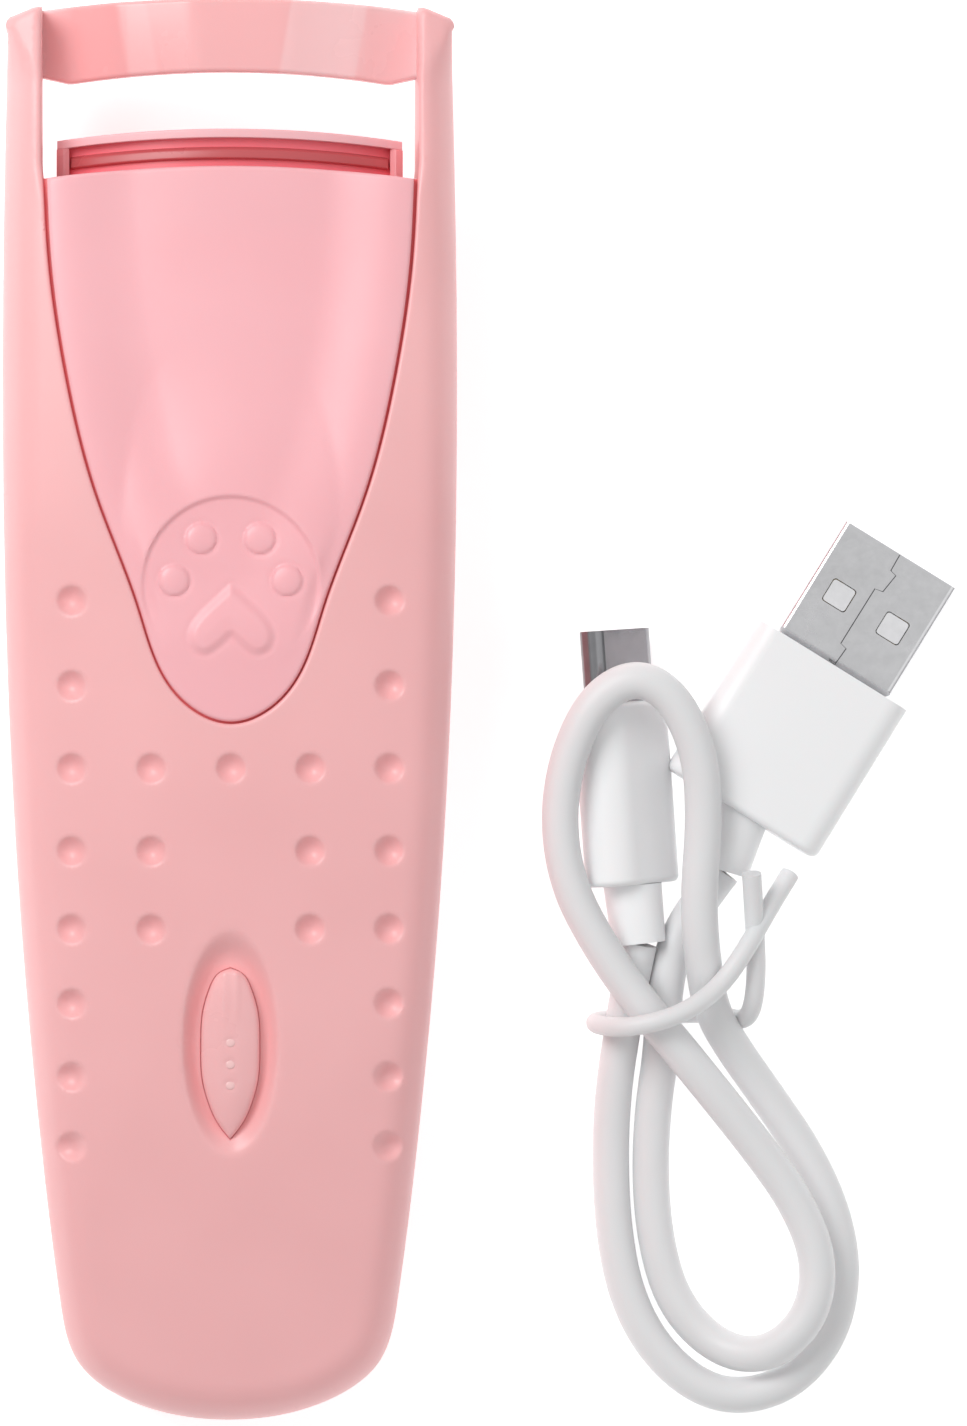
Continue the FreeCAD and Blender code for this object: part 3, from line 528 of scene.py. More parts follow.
class Plan:
    """A flat region between closed loops, filled with points and triangles.

    Rows of points follow each loop at its offsets. The rest is an even grid, kept clear of the
    circles in clear, and whatever points are given as extra.
    """

    def __init__(self, loops, offsets, step, extra=(), clear=()):
        self.loops = loops
        rims, edges, first = [], [], 0
        for loop in loops:
            count = len(loop)
            rims.append(range(first, first + count))
            edges += [(first + i, first + (i + 1) % count) for i in range(count)]
            first += count
        beside = [np.zeros((0, 2))]
        for k, (loop, rows) in enumerate(zip(loops, offsets)):
            beside += offset_rows(loop, rows, inward=(k == 0))
        grid = staggered_grid(loops[0].min(axis=0), loops[0].max(axis=0), step)
        for (cx, cy), reach in clear:
            grid = grid[np.hypot(grid[:, 0] - cx, grid[:, 1] - cy) > reach]
        keep = []
        for part in [grid, np.concatenate(beside)] + list(extra):
            part = part[between(part, loops)]
            for loop, rows in zip(loops, offsets):
                grid_margin = max(rows, default=0) + 0.45 * step
                margin = 0.03 if keep else grid_margin
                part = part[nearest(part, loop) > margin]
            keep.append(part)
        cloud = np.concatenate(list(loops) + keep)
        found = delaunay_2d_cdt([Vector(p) for p in cloud], edges, [], 0, 1e-6, True)
        self.points = np.array([tuple(v) for v in found[0]])
        self.faces = np.array([f for f in found[2] if len(f) == 3])
        new_of = {old: new for new, olds in enumerate(found[3]) for old in olds}
        self.rims = [[new_of[i] for i in rim] for rim in rims]
        self.faces = self.faces[between(self.points[self.faces].mean(axis=1), loops)]
        a, b, c = (self.points[self.faces[:, i]] for i in range(3))
        cross = (b[:, 0] - a[:, 0]) * (c[:, 1] - a[:, 1]) - (b[:, 1] - a[:, 1]) * (c[:, 0] - a[:, 0])
        self.faces[cross < 0] = self.faces[cross < 0][:, ::-1]

    def solid(self, name, top, bottom, material):
        """A closed solid between two heights over the region, with walls on its rims."""
        count = len(self.points)
        upper = np.column_stack([self.points, top])
        lower = np.column_stack([self.points, bottom])
        verts = np.concatenate([upper, lower])
        faces = [tuple(f) for f in self.faces]
        faces += [tuple(count + i for i in f[::-1]) for f in self.faces]
        for rim, loop in zip(self.rims, self.loops):
            outer = loop is self.loops[0]
            ordered = rim if (signed_area(loop) > 0) == outer else rim[::-1]
            for a, b in zip(ordered, ordered[1:] + ordered[:1]):
                faces.append((a, count + a, count + b, b))
        used = np.zeros(len(verts), bool)
        for f in faces:
            used[list(f)] = True
        number = np.cumsum(used) - 1
        faces = [tuple(int(number[i]) for i in f) for f in faces]
        return mesh_object(name, verts[used], faces, material, 38)


def rounded_drop(d, r):
    """How far a rounded edge of radius r falls below the face, at a distance from the edge."""
    t = np.clip(r - d, 0, r)
    return r - np.sqrt(np.maximum(r * r - t * t, 0))


def rounding_rows(r, count):
    """Distances from an edge at which a rounding of radius r has turned by equal steps."""
    return [r * (1 - math.cos(i / count * math.pi / 2)) for i in range(1, count + 1)]


def handle_loop(step):
    """The handle's outline with its arched top and rounded shoulders, anticlockwise."""
    side = smooth_line(both_sides(SIDE), 40)
    side = side[side[:, 1] < SHOULDER[0][1] - 0.1]
    bend = arc_through(*SHOULDER, 8)
    left_end = (-ARCH_END[0], ARCH_END[1])
    shoulder = np.concatenate([bend, even([bend[-1], left_end], 0.3)[1:-1]])
    top = arc_through(left_end, (0.0, LENGTH / 2), ARCH_END, 60)
    other = shoulder[::-1] * [-1, 1]
    loop = np.concatenate([side, shoulder, top[1:-1], other])
    return even(np.concatenate([loop, loop[:1]]), step)[:-1]


def lever_loop(step):
    """The lever's outline: its opening's U made smaller by the gap, with an arched top."""
    high, low = U_SIDE[0][1], U_SIDE[-1][1]
    wide = 1 - LEVER_GAP / U_SIDE[0][0]
    tall = (LEVER_TOP - LEVER_LOW) / (high - low)
    half = [(x * wide, LEVER_TOP - (high - y) * tall) for x, y in U_SIDE]
    side = smooth_line(both_sides(half), 30)
    top = arc_through(side[-1], (0.0, LEVER_TOP + LEVER_ARCH), side[0], 40)
    return np.concatenate([even(side, step), even(top, step)[1:-1]])


def dimple_places():
    places = [(s * DIMPLE_OUTER_X, y) for s in (-1, 1) for y in DIMPLE_ROWS_Y]
    places += [(s * DIMPLE_INNER_X, y) for s in (-1, 1) for y in DIMPLE_ROWS_Y[2:5]]
    places.append((0.0, DIMPLE_ROWS_Y[2]))
    return places


def rings(centre, radii, count):
    """Circles of points round a centre, each turned half a step from the last."""
    out = [np.array([centre])]
    for k, r in enumerate(radii):
        turn = (np.arange(count) + k % 2 / 2) / count * 2 * math.pi
        out.append(np.stack([centre[0] + r * np.cos(turn), centre[1] + r * np.sin(turn)], axis=1))
    return np.concatenate(out)


def leaf_loop(grow, step):
    """The button's leaf outline grown outwards, and by a little more at its pointed end."""
    tip = BUTTON_LEAF[0][1] + grow, BUTTON_LEAF[-1][1] - grow * 1.6
    half = [(0.0, tip[0])] + [(x + grow, y) for x, y in BUTTON_LEAF[1:-1]] + [(0.0, tip[1])]
    right = even(smooth_line(half, 30), step)
    return np.concatenate([right, right[::-1][1:-1] * [-1, 1]])[::-1]


def recess_reach(x, y):
    """Depth into the oval recess from its rim, in millimetres, negative outside."""
    e = np.sqrt((x / RECESS_HALF_X) ** 2 + ((y - BUTTON_Y) / RECESS_HALF_Y) ** 2)
    return (1 - e) * RECESS_HALF_X


def recess_drop(x, y):
    """How far the front falls into the recess, with soft edges."""
    return RECESS_DEEP * smooth_step((recess_reach(x, y) + 0.35) / 1.5)


# ---------------- front shell

# The rounding of the outer edge, tighter at the head, and of the opening's edge, wider between the
# posts, and where the posts begin.
EDGE_R, HEAD_EDGE_R, HEAD_EDGE_Y = 3.6, 0.7, 57.0
CUT_R, POST_CUT_R, POST_CUT_Y = 0.35, 0.85, 46.0
POST_LOW_Y, POST_INNER_X = 46.6, 15.0

# The charging port: its upper half's height and half-width.
PORT_R, PORT_HALF = 1.83, 4.67

# The two slight creases beside the tail: a point on each, its normal, and where it fades out.
CREASE_X, CREASE_Y, CREASE_NORMAL, CREASE_FADE_Y = 6.3, -27.5, (0.93, 0.36), -26.0


def opening_loop(step):
    """The U-shaped opening run on up between the posts, open at the head."""
    side = even(smooth_line(both_sides(U_SIDE), 30), step)
    left = even([side[-1], (-WINDOW_HALF, WINDOW_LOW), (-WINDOW_HALF, WINDOW_TOP)], step)[1:]
    right = left[::-1] * [-1, 1]
    return np.concatenate([side, left, right])


def shell_outline(step):
    """The handle's outline joined to the opening: one loop round the body and its two posts."""
    outer = handle_loop(step)
    cut = opening_loop(step)
    body = outer[~inside(outer, cut)]
    order = np.argmax(np.linalg.norm(np.diff(body, axis=0), axis=1))
    body = np.roll(body, -(order + 1), axis=0)
    rim = cut[inside(cut, outer)]
    order = np.argmax(np.linalg.norm(np.diff(rim, axis=0), axis=1))
    if np.linalg.norm(rim[order] - rim[order + 1]) > 3 * step:
        rim = np.roll(rim, -(order + 1), axis=0)
    if np.linalg.norm(body[-1] - rim[0]) > np.linalg.norm(body[-1] - rim[-1]):
        rim = rim[::-1]
    return np.concatenate([body, rim])


def port_notch(x, y):
    """How far the charging port's upper half rises above the parting line."""
    t = np.clip((np.abs(x) - PORT_HALF + PORT_R) / PORT_R, 0, 1)
    rise = np.where(np.abs(x) < PORT_HALF, PORT_R * np.sqrt(1 - t * t), 0)
    return np.where(y < -60, rise, 0)


def shell_top(x, y, to_outer, to_cut):
    """The shell's outer face: crowned and rounded, with its dimples, recess and creases."""
    head = smooth_step((y - HEAD_EDGE_Y) / 6.0)
    posts = smooth_step((y - POST_CUT_Y) / 4.0)
    z = front_z(x, y)
    z -= rounded_drop(to_outer, EDGE_R + (HEAD_EDGE_R - EDGE_R) * head)
    z -= rounded_drop(to_cut, CUT_R + (POST_CUT_R - CUT_R) * posts)
    for cx, cy in dimple_places():
        q = ((x - cx) ** 2 + (y - cy) ** 2) / DIMPLE_R ** 2
        z -= DIMPLE_DEEP * np.clip(1 - q, 0, 1) ** 1.15
    z -= recess_drop(x, y)
    fade = smooth_step((CREASE_FADE_Y - y) / 10.0)
    for side in (-1, 1):
        beyond = (side * x - CREASE_X) * CREASE_NORMAL[0] + (y - CREASE_Y) * CREASE_NORMAL[1]
        z -= 0.05 * fade * np.log1p(np.exp(np.clip(beyond * 3, -30, 30))) / 3
    return z


def shell_underside(x, y, z, to_outer, to_cut):
    """The shell's inner face: a wall's depth below the front, and the parting line at its rim."""
    under = np.full(len(x), PART_LINE_Z)
    post = (y > POST_LOW_Y) & (np.abs(x) > POST_INNER_X)
    deep = (to_outer > WALL + 0.02) & ~post
    under = np.where(deep, front_z(x, y) - WALL - 1.7 * (recess_reach(x, y) > -1.5), under)
    under = np.where(post & (y > 50), PART_LINE_Z + 3.0 * smooth_step((y - 50) / 16.0), under)
    under = under + np.where(deep, 0, port_notch(x, y))
    under = np.where((to_cut < RIM_LAP) & (y < PIVOT_Y), z - RIM_THICK, under)
    return np.minimum(under, z - 0.5)


def make_front_shell():
    step = 0.55
    outer, cut = handle_loop(0.5), opening_loop(0.5)
    dimple_radii = [0.35, 0.7, 1.0, 1.2, 1.32, 1.42, 1.55, 1.8]
    extra = [rings(spot, dimple_radii, 22) for spot in dimple_places()]
    turn = np.linspace(0, 2 * math.pi, 110, endpoint=False)
    for shrink in (-0.5, -0.25, -0.1, 0.05, 0.2, 0.4, 0.65, 0.95, 1.25, 1.5):
        a, b = RECESS_HALF_X - shrink, RECESS_HALF_Y - shrink
        extra.append(np.stack([a * np.cos(turn), BUTTON_Y + b * np.sin(turn)], axis=1))
    extra += offset_rows(outer, rounding_rows(EDGE_R, 7) + [WALL + 0.05], inward=True)
    plan = Plan([shell_outline(0.45), leaf_loop(BUTTON_GAP, 0.3)],
                [[0.06, 0.16, 0.3, 0.5], [0.07, 0.18]], step, extra,
                [(spot, 1.95) for spot in dimple_places()])
    x, y = plan.points.T
    to_outer, to_cut = nearest(plan.points, outer), nearest(plan.points, cut)
    z = shell_top(x, y, to_outer, to_cut)
    under = shell_underside(x, y, z, to_outer, to_cut)
    shell = plan.solid("front_shell_skin", z, under, "shell_pink")
    place(shell, "handle", "front_shell")


# ---------------- crossbar

# The axis of the head's curve, the bar's radii about it, and where the bar's facets meet.
BAR_AXIS_Z, BAR_INNER, BAR_OUTER = -10.0, 25.9, 28.3
BAR_FACETS = (-17.8, -9.75, -3.2, 5.1, 12.0, 17.8)
BAR_HALF, BAR_ROUND = 18.2, 0.45

# The bar's lower edge bows downwards as far as BOW_HALF, then rises into the posts. Its top is
# arched, and its facets' edges slant.
BAR_LOW_Y, BOW, BOW_HALF, FLARE, FLARE_WIDE = 58.3, 0.85, 14.6, 0.9, 3.4
BAR_TOP_DROP, BAR_TOP_HALF, BAR_SLANT, BAR_MID_Y = 0.9, 18.4, 0.17, 61.5


def bar_reach(x):
    """Outer radius of the crossbar's front, flattened into five soft facets."""
    edges = np.array(BAR_FACETS)
    return np.interp(x, edges, np.sqrt(BAR_OUTER ** 2 - edges ** 2))


def make_crossbar():
    """The curved bar between the posts: a faceted front, a plain back and rounded edges."""
    xs = np.unique(np.concatenate([np.linspace(-BAR_HALF, BAR_HALF, 75),
                                   [e + o for e in BAR_FACETS[1:-1] for o in (-0.25, 0, 0.25)]]))
    per_corner = 9
    verts = []
    for x in xs:
        low = BAR_LOW_Y - BOW * min(1, abs(x) / BOW_HALF) ** 2
        low += FLARE * np.clip((abs(x) - BOW_HALF) / FLARE_WIDE, 0, 1)
        high = LENGTH / 2 - BAR_TOP_DROP * (x / BAR_TOP_HALF) ** 2
        back = math.sqrt(BAR_INNER ** 2 - x ** 2) + BAR_AXIS_Z
        for quarter in range(4):
            y_mid = high - BAR_ROUND if quarter in (0, 3) else low + BAR_ROUND
            slant = -BAR_SLANT * (y_mid - BAR_MID_Y) * np.sign(x)
            front = bar_reach(x + slant) + BAR_AXIS_Z
            z_mid = front - BAR_ROUND if quarter in (0, 1) else back + BAR_ROUND
            for k in range(per_corner):
                angle = quarter * math.pi / 2 + k * math.pi / 16
                verts.append((x, y_mid + BAR_ROUND * math.cos(angle),
                              z_mid + BAR_ROUND * math.sin(angle)))
    faces = tube_faces(len(xs), 4 * per_corner)
    # The bar's material paints its reflections and shade as bands.
    bar = mesh_object("crossbar_skin", verts, faces, "bar_painted_shading", 50)
    place(bar, "handle")


# ---------------- lever

# The raised thumb pad, and the dish it rises from. The lever's last few millimetres are thin, to
# clear the jaw.
THUMB_Y, THUMB_HALF_X, THUMB_HALF_Y, THUMB_HIGH = 17.2, 9.8, 17.6, 1.3
DISH_DEEP, DISH_WIDE = 2.0, 8.0
THIN_TOP = 4.5

# The paw relief: its disc, with a step and a bowl, and the toes and heart that stand up in it.
PAW_Y, PAW_R, PAW_DEEP, PAW_BOWL = 11.6, 8.0, 0.35, 0.6
TOES = [(-2.7, 15.8), (2.6, 15.8), (-5.15, 12.0), (5.05, 12.0)]
TOE_R, TOE_HIGH, HEART_HIGH = 1.4, 0.36, 0.28
HEART = [(0.0, 11.8), (1.7, 10.2), (3.4, 8.4), (3.95, 6.9), (3.35, 5.6), (2.3, 5.25),
         (1.15, 5.85), (0.0, 6.9)]

# Each ledge's section: distance outwards from the opening's edge, and depth below the front.
LEVER_LEDGE = [(-0.45, 1.5), (0.7, 1.5), (0.7, 0.85), (-0.45, 0.85)]
SHELL_LEDGE = [(0.9, 0.85), (-1.3, 0.85), (-1.3, 1.4), (0.9, 1.4)]


def heart_loop():
    right = smooth_line(HEART, 12)
    return even(np.concatenate([right, right[::-1][1:] * [-1, 1]]), 0.2)[:-1]


def paw_relief(x, y):
    """Height of the paw's toes and heart above the thumb pad, less the disc they stand in."""
    points = np.stack([x, y], axis=1)
    rho = np.hypot(x, y - PAW_Y)
    fade = smooth_step((y - 5.0) / 8.0)
    z = -PAW_DEEP * smooth_step((PAW_R + 0.2 - rho) / 0.45) * fade
    z -= PAW_BOWL * np.clip(1 - (rho / PAW_R) ** 2, 0, 1) * fade
    for cx, cy in TOES:
        q = np.hypot(x - cx, y - cy) / TOE_R
        z += TOE_HIGH * np.sqrt(np.clip(1 - q * q, 0, 1)) - 0.05 * np.exp(-((q - 1.12) / 0.14) ** 2)
    near = np.hypot(x, y - 8.5) < 7
    heart = heart_loop()
    deep = np.full(len(x), -9.0)
    close = nearest(points[near], heart)
    deep[near] = np.where(inside(points[near], heart), close, -close)
    z += HEART_HIGH * smooth_step(deep / 0.8) + 0.06 * smooth_step((deep - 0.6) / 1.6)
    z -= 0.05 * np.exp(-((deep + 0.12) / 0.2) ** 2)
    return z


def thumb_pad(x, y, rim):
    """Height of the thumb pad above the dish: an egg shape that fades at both ends and at the rim."""
    power = 2.0 + 0.3 * smooth_step((y - THUMB_Y) / 3.0)
    reach = (np.abs(x) / THUMB_HALF_X) ** power + (np.abs(y - THUMB_Y) / THUMB_HALF_Y) ** power
    within = np.clip(1 - reach ** (1 / power), 0, 1)
    high = THUMB_HIGH * smooth_step((36.0 - y) / 16.0) * smooth_step((y - 2.0) / 12.0)
    return high * (1 - (1 - within) ** 2.4) * smooth_step((rim - 0.4) / 1.6)


def make_lever():
    step = 0.5
    loop = lever_loop(0.4)
    fine = staggered_grid((-9.0, 3.0), (9.0, 21.0), 0.19)
    fine = fine[np.hypot(fine[:, 0], fine[:, 1] - PAW_Y) < PAW_R + 0.6]
    plan = Plan([loop], [[0.05, 0.14, 0.26, 0.42]], step, [fine], [((0.0, PAW_Y), PAW_R + 0.7)])
    x, y = plan.points.T
    rim = nearest(plan.points, loop)
    # The dish deepens from the two sides only, so they are run on far past the lever's top.
    sides = np.concatenate([loop[loop[:, 1] < LEVER_TOP], [[-17.0, 90.0], [17.0, 90.0]]])
    from_side = smooth_step((nearest(plan.points, sides) - 0.3) / DISH_WIDE)
    dish = DISH_DEEP * smooth_step((y - 2.0) / 24.0) * from_side
    base = front_z(x, y) + 0.15 * smooth_step((y - 20) / 25.0) - dish
    z = base + thumb_pad(x, y, rim) + paw_relief(x, y)
    z -= rounded_drop(rim, 0.32)
    under = np.minimum(base - WALL, z - 1.6)
    thin = (y > LEVER_TOP - THIN_TOP) | ((rim < RIM_LAP) & (y > PIVOT_Y))
    under = np.where(thin, z - RIM_THICK, under)
    lever = plan.solid("press_lever_skin", z, under, "lever_pink")
    place(lever, "lever", "press_lever")


def make_ledge(name, body, section, low_y, high_y):
    """A ledge that closes the lever's gap from behind, along the opening between two heights. Its red is
    painted shade for the gap.
    """
    line = even(smooth_line(both_sides(U_SIDE), 30), 0.5)
    ahead = np.roll(line, -1, axis=0) - np.roll(line, 1, axis=0)
    ahead[0], ahead[-1] = ahead[1], ahead[-2]
    normal = np.stack([-ahead[:, 1], ahead[:, 0]], axis=1)
    normal /= np.linalg.norm(normal, axis=1)[:, None]
    normal *= np.where((normal * (line - [0.0, 30.0])).sum(axis=1) > 0, 1, -1)[:, None]
    kept = np.flatnonzero((line[:, 1] > low_y - 0.25) & (line[:, 1] < high_y + 0.25))
    runs = np.split(kept, np.flatnonzero(np.diff(kept) > 1) + 1)
    for number, run in enumerate(runs):
        verts = []
        for i in run:
            for out, deep in section:
                x, y = line[i] + normal[i] * out
                verts.append((x, y, front_z(x, y) - deep))
        ledge = mesh_object("%s_%d" % (name, number + 1), verts, tube_faces(len(run), len(section)),
                            "gap_painted_shade", 38)
        place(ledge, body)


CRANK_X, CRANK_THICK, CRANK_HALF = 10.3, 1.5, 3.2
CRANK_TOP_Z, CRANK_LOW_Z, CRANK_END_R = 20.0, 4.6, 1.8
DRIVE_PIN_R, DRIVE_PIN_LONG = 1.0, 2.0


def circle(r, count, start=0.0, turn=2 * math.pi):
    """Points on an arc round the crank's lower end, as (y, z)."""
    angles = [start + turn * k / count for k in range(count)]
    return [(PIVOT_Y + r * math.cos(a), CRANK_LOW_Z + r * math.sin(a)) for a in angles]


def make_lever_arms():
    """The two cranks under the lever, each a tapered plate with its drive pin."""
    plate_line = [(PIVOT_Y - CRANK_HALF, CRANK_TOP_Z)]
    plate_line += circle(CRANK_END_R, 12, math.pi, math.pi)
    plate_line += [(PIVOT_Y + CRANK_END_R, CRANK_LOW_Z), (PIVOT_Y + CRANK_HALF, CRANK_TOP_Z)]
    pin_line = circle(DRIVE_PIN_R, 24)
    first = 2 * len(plate_line)
    plate_and_pin = tube_faces(2, len(plate_line))
    plate_and_pin += [tuple(first + i for i in face) for face in tube_faces(2, len(pin_line))]
    for name, side, faces in (("left", -1, turned(plate_and_pin)), ("right", 1, plate_and_pin)):
        near, far = side * CRANK_X, side * (CRANK_X + CRANK_THICK)
        pin_end = side * (CRANK_X - DRIVE_PIN_LONG)
        verts = [(x, y, z) for x in (near, far) for y, z in plate_line]
        verts += [(x, y, z) for x in (pin_end, near) for y, z in pin_line]
        arm = mesh_object("lever_arm_" + name, verts, faces, "lever_pink", 38)
        place(arm, "lever")


SPRING_Y, SPRING_R, SPRING_WIRE_R = 22.0, 2.7, 0.3
SPRING_LOW_Z, SPRING_TOP_Z, SPRING_TURNS, SPRING_KEEP = 2.3, 18.1, 8, 0.68


def make_spring():
    """The return spring under the lever, with closed end turns."""
    per_turn, sides = 28, 10
    count = SPRING_TURNS * per_turn
    verts = []
    for i in range(count + 1):
        turn = 2 * math.pi * i / per_turn
        rise = min(1.0, max(0.0, (i / count - 0.06) / 0.88))
        mid_z = SPRING_LOW_Z + (SPRING_TOP_Z - SPRING_LOW_Z) * rise
        for k in range(sides):
            around = 2 * math.pi * k / sides
            r = SPRING_R + SPRING_WIRE_R * math.cos(around)
            z = mid_z + SPRING_WIRE_R * math.sin(around)
            verts.append((r * math.cos(turn), SPRING_Y + r * math.sin(turn), z))
    faces = turned(tube_faces(count + 1, sides))
    spring = mesh_object("return_spring_coil", verts, faces, "spring_steel", 180)
    place(spring, "handle", "return_spring")
    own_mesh(spring)


# ---------------- button

BUTTON_LOW, BUTTON_CROWN, BUTTON_THICK = 0.45, 0.5, 4.2
SEAL_LOW, SEAL_THICK = 0.12, 0.6
LIGHT_Y = (-29.9, -31.9, -33.8)

# One light's profile from its base to its top: radius, and height above the front.
LIGHT_PROFILE = [(0.48, -0.8), (0.47, -0.08), (0.42, -0.03), (0.3, 0.02), (0.15, 0.04)]


def make_button():
    """The leaf-shaped button: crowned across, with two faint ribs and a hollow for each light."""
    loop = leaf_loop(0.0, 0.25)
    plan = Plan([loop], [[0.06, 0.15, 0.3, 0.5]], 0.3)
    x, y = plan.points.T
    edge_x, edge_y = np.array(BUTTON_LEAF)[::-1].T
    wide = np.interp(y, edge_y, edge_x)
    across = np.clip(np.abs(x) / np.maximum(wide, 0.4), 0, 1)
    z = front_z(x, y) - BUTTON_LOW + BUTTON_CROWN * (1 - across ** 2) * smooth_step(wide / 2.4)
    z -= rounded_drop(nearest(plan.points, loop), 0.35)
    z += 0.12 * np.exp(-((np.abs(x) - 0.55) / 0.22) ** 2) * smooth_step((y + 29.0) / 2.5)
    for at in LIGHT_Y:
        z -= 0.1 * smooth_step((0.54 - np.hypot(x, y - at)) / 0.14)
    button = plan.solid("power_button_skin", z, front_z(x, y) - BUTTON_THICK, "button_pink")
    place(button, "button", "power_button")


def make_seal():
    """The thin ring that fills the gap round the button, at the bottom of its recess."""
    ring = Plan([leaf_loop(BUTTON_GAP, 0.25), leaf_loop(0.02, 0.25)], [[], []], 0.3)
    x, y = ring.points.T
    z = front_z(x, y) - recess_drop(x, y) - SEAL_LOW
    seal = ring.solid("button_seal", z, z - SEAL_THICK, "jaw_pink")
    place(seal, "handle")


def make_lights():
    sides = 24
    for number, at in enumerate(LIGHT_Y):
        top = front_z(0.0, at)
        turns = [2 * math.pi * k / sides for k in range(sides)]
        verts = [(r * math.cos(t), at + r * math.sin(t), top + h) for r, h in LIGHT_PROFILE for t in turns]
        dot = mesh_object("button_light_%d" % (number + 1), verts, tube_faces(len(LIGHT_PROFILE), sides),
                          "light_window", 180)
        place(dot, "button", "button_lights" if number == 0 else None)


# ---------------- jaw

# JAW_HALF and JAW_WALL are across the head. Each _Y and JAW_ARCH are along the handle. The others
# are radii about the axis of the head's curve.
JAW_HALF, JAW_INNER, JAW_OUTER, JAW_WALL = 15.8, 24.5, 29.0, 1.15
JAW_LOW_Y, JAW_TOP_Y, PAD_TOP_Y, JAW_ARCH = 46.0, 52.3, 53.1, 0.9
SLOT_R, SLOT_LOW_Y = 27.7, 49.3

# The heating strip's ridge in the slot, as (y, r, rounding).
RIDGE = [(51.5, SLOT_R, 0), (51.3, SLOT_R + 0.45, 0.2), (50.45, SLOT_R + 0.6, 0.15), (50.35, SLOT_R, 0)]


def rounded_corners(corners, count=4):
    """A closed outline from (y, r, rounding) corners, each replaced by an arc."""
    out = []
    size = len(corners)
    for i, (y, r, rounding) in enumerate(corners):
        here = np.array([y, r])
        back = np.array(corners[i - 1][:2]) - here
        ahead = np.array(corners[(i + 1) % size][:2]) - here
        if not rounding:
            out.append(here)
            continue
        start = here + back / np.linalg.norm(back) * rounding
        end = here + ahead / np.linalg.norm(ahead) * rounding
        for k in range(count + 1):
            t = k / count
            out.append((1 - t) ** 2 * start + 2 * t * (1 - t) * here + t * t * end)
    return np.array(out)


def arched_sweep(name, profile, x0, x1, slot, stands_for=None, step=0.6, bevel=0.0):
    """A profile of (y, r) swept across the head along its arc, arched with the jaw."""
    xs = np.linspace(x0, x1, max(2, int(abs(x1 - x0) / step) + 1))
    inner = min(xs, key=abs)
    outermost = profile[:, 1].max()
    verts = []
    for x in xs:
        drop = JAW_ARCH * (x / JAW_HALF) ** 2
        cut_back = max(0.0, bevel - abs(x - inner))
        for y, r in profile:
            low = y <= JAW_LOW_Y + 0.01
            r = min(r, outermost - cut_back)
            verts.append((x, y - (0 if low else drop), math.sqrt(r * r - x * x) + BAR_AXIS_Z))
    obj = mesh_object(name, verts, tube_faces(len(xs), len(profile)), slot, 40)
    place(obj, "jaw", stands_for)
    return obj


def paint_slot_shade(body):
    """Gives the faces inside the jaw's slot a redder pink: painted shade in its groove, reddened by light
    bounced off the pink around it.
    """
    body.data.materials.append(MATERIALS["slot_painted_shade"])
    for face in body.data.polygons:
        spots = [body.data.vertices[i].co / MM for i in face.vertices]
        radii = [math.hypot(p.x, p.z - BAR_AXIS_Z) for p in spots]
        lowest = min(p.y + JAW_ARCH * (p.x / JAW_HALF) ** 2 for p in spots)
        if len(spots) == 4 and lowest > SLOT_LOW_Y - 0.05 and min(radii) > SLOT_R - 0.1:
            face.material_index = 1


def make_jaw():
    inner_half = JAW_HALF - JAW_WALL
    block = [(JAW_LOW_Y, JAW_OUTER, 0.2), (JAW_LOW_Y, JAW_INNER, 0.2), (JAW_TOP_Y, JAW_INNER, 0.15)]
    slot = [(JAW_TOP_Y, SLOT_R, 0.0), (SLOT_LOW_Y, SLOT_R, 0.15), (SLOT_LOW_Y, JAW_OUTER, 0.12)]
    body = arched_sweep("jaw_frame_body", rounded_corners(block + slot), -inner_half, inner_half,
                        "jaw_pink", "jaw_frame")
    paint_slot_shade(body)
    full = rounded_corners(block + [(JAW_TOP_Y, JAW_OUTER, 0.15)])
    for name, ends in (("jaw_end_left", (-JAW_HALF, -inner_half)), ("jaw_end_right", (inner_half, JAW_HALF))):
        arched_sweep(name, full, *ends, "jaw_pink", step=0.1, bevel=0.5)
    strip_half = inner_half - 0.2
    arched_sweep("heating_strip_body", rounded_corners(RIDGE), -strip_half, strip_half,
                 "heater_strip", "heating_strip")
    pad_half = JAW_HALF - 0.05
    pad = [(JAW_TOP_Y, JAW_INNER + 0.3, 0), (PAD_TOP_Y, JAW_INNER + 0.3, 0.2),
           (PAD_TOP_Y, JAW_OUTER - 0.2, 0.2), (JAW_TOP_Y, JAW_OUTER - 0.2, 0.1)]
    arched_sweep("lash_pad_body", rounded_corners(pad, 6), -pad_half, pad_half,
                 "pad_silicone", "lash_pad")


# ---------------- plug details

# The big plug's turn in degrees, and where its own origin lies.
PLUG_ANGLE, PLUG_AT = -31.7, (55.75, 4.4, 4.4)
TONGUE_AT, TONGUE_HALF, TONGUE_ROUND = (2.9, 5.8), (1.17, 1.12), 0.32
TONGUE_LOW, TONGUE_HIGH = 1.9, 2.12
SEAM = [(-0.6, 0.25), (0.1, 0.12), (0.22, 1.95), (-0.45, 2.1), (-0.42, 8.05), (0.35, 8.2),
        (0.6, 10.1), (-0.04, 10.25), (-0.1, 11.9)]
SEAM_HALF, SEAM_LOW, SEAM_HIGH = 0.05, 2.2, 2.262


def on_plug(points):
    """Points along the big plug's own axes, turned and moved to where it lies."""
    x, y, z = PLUG_AT
    c, s = math.cos(math.radians(PLUG_ANGLE)), math.sin(math.radians(PLUG_ANGLE))
    return [(x + px * c - py * s, y + px * s + py * c, z + pz) for px, py, pz in points]


def plate(name, outline, z0, z1, material, slot):
    """A flat plate on the big plug, between two heights."""
    verts = on_plug([(x, y, z) for z in (z0, z1) for x, y in outline])
    place(mesh_object(name, verts, tube_faces(2, len(outline)), material), "charging_cable")


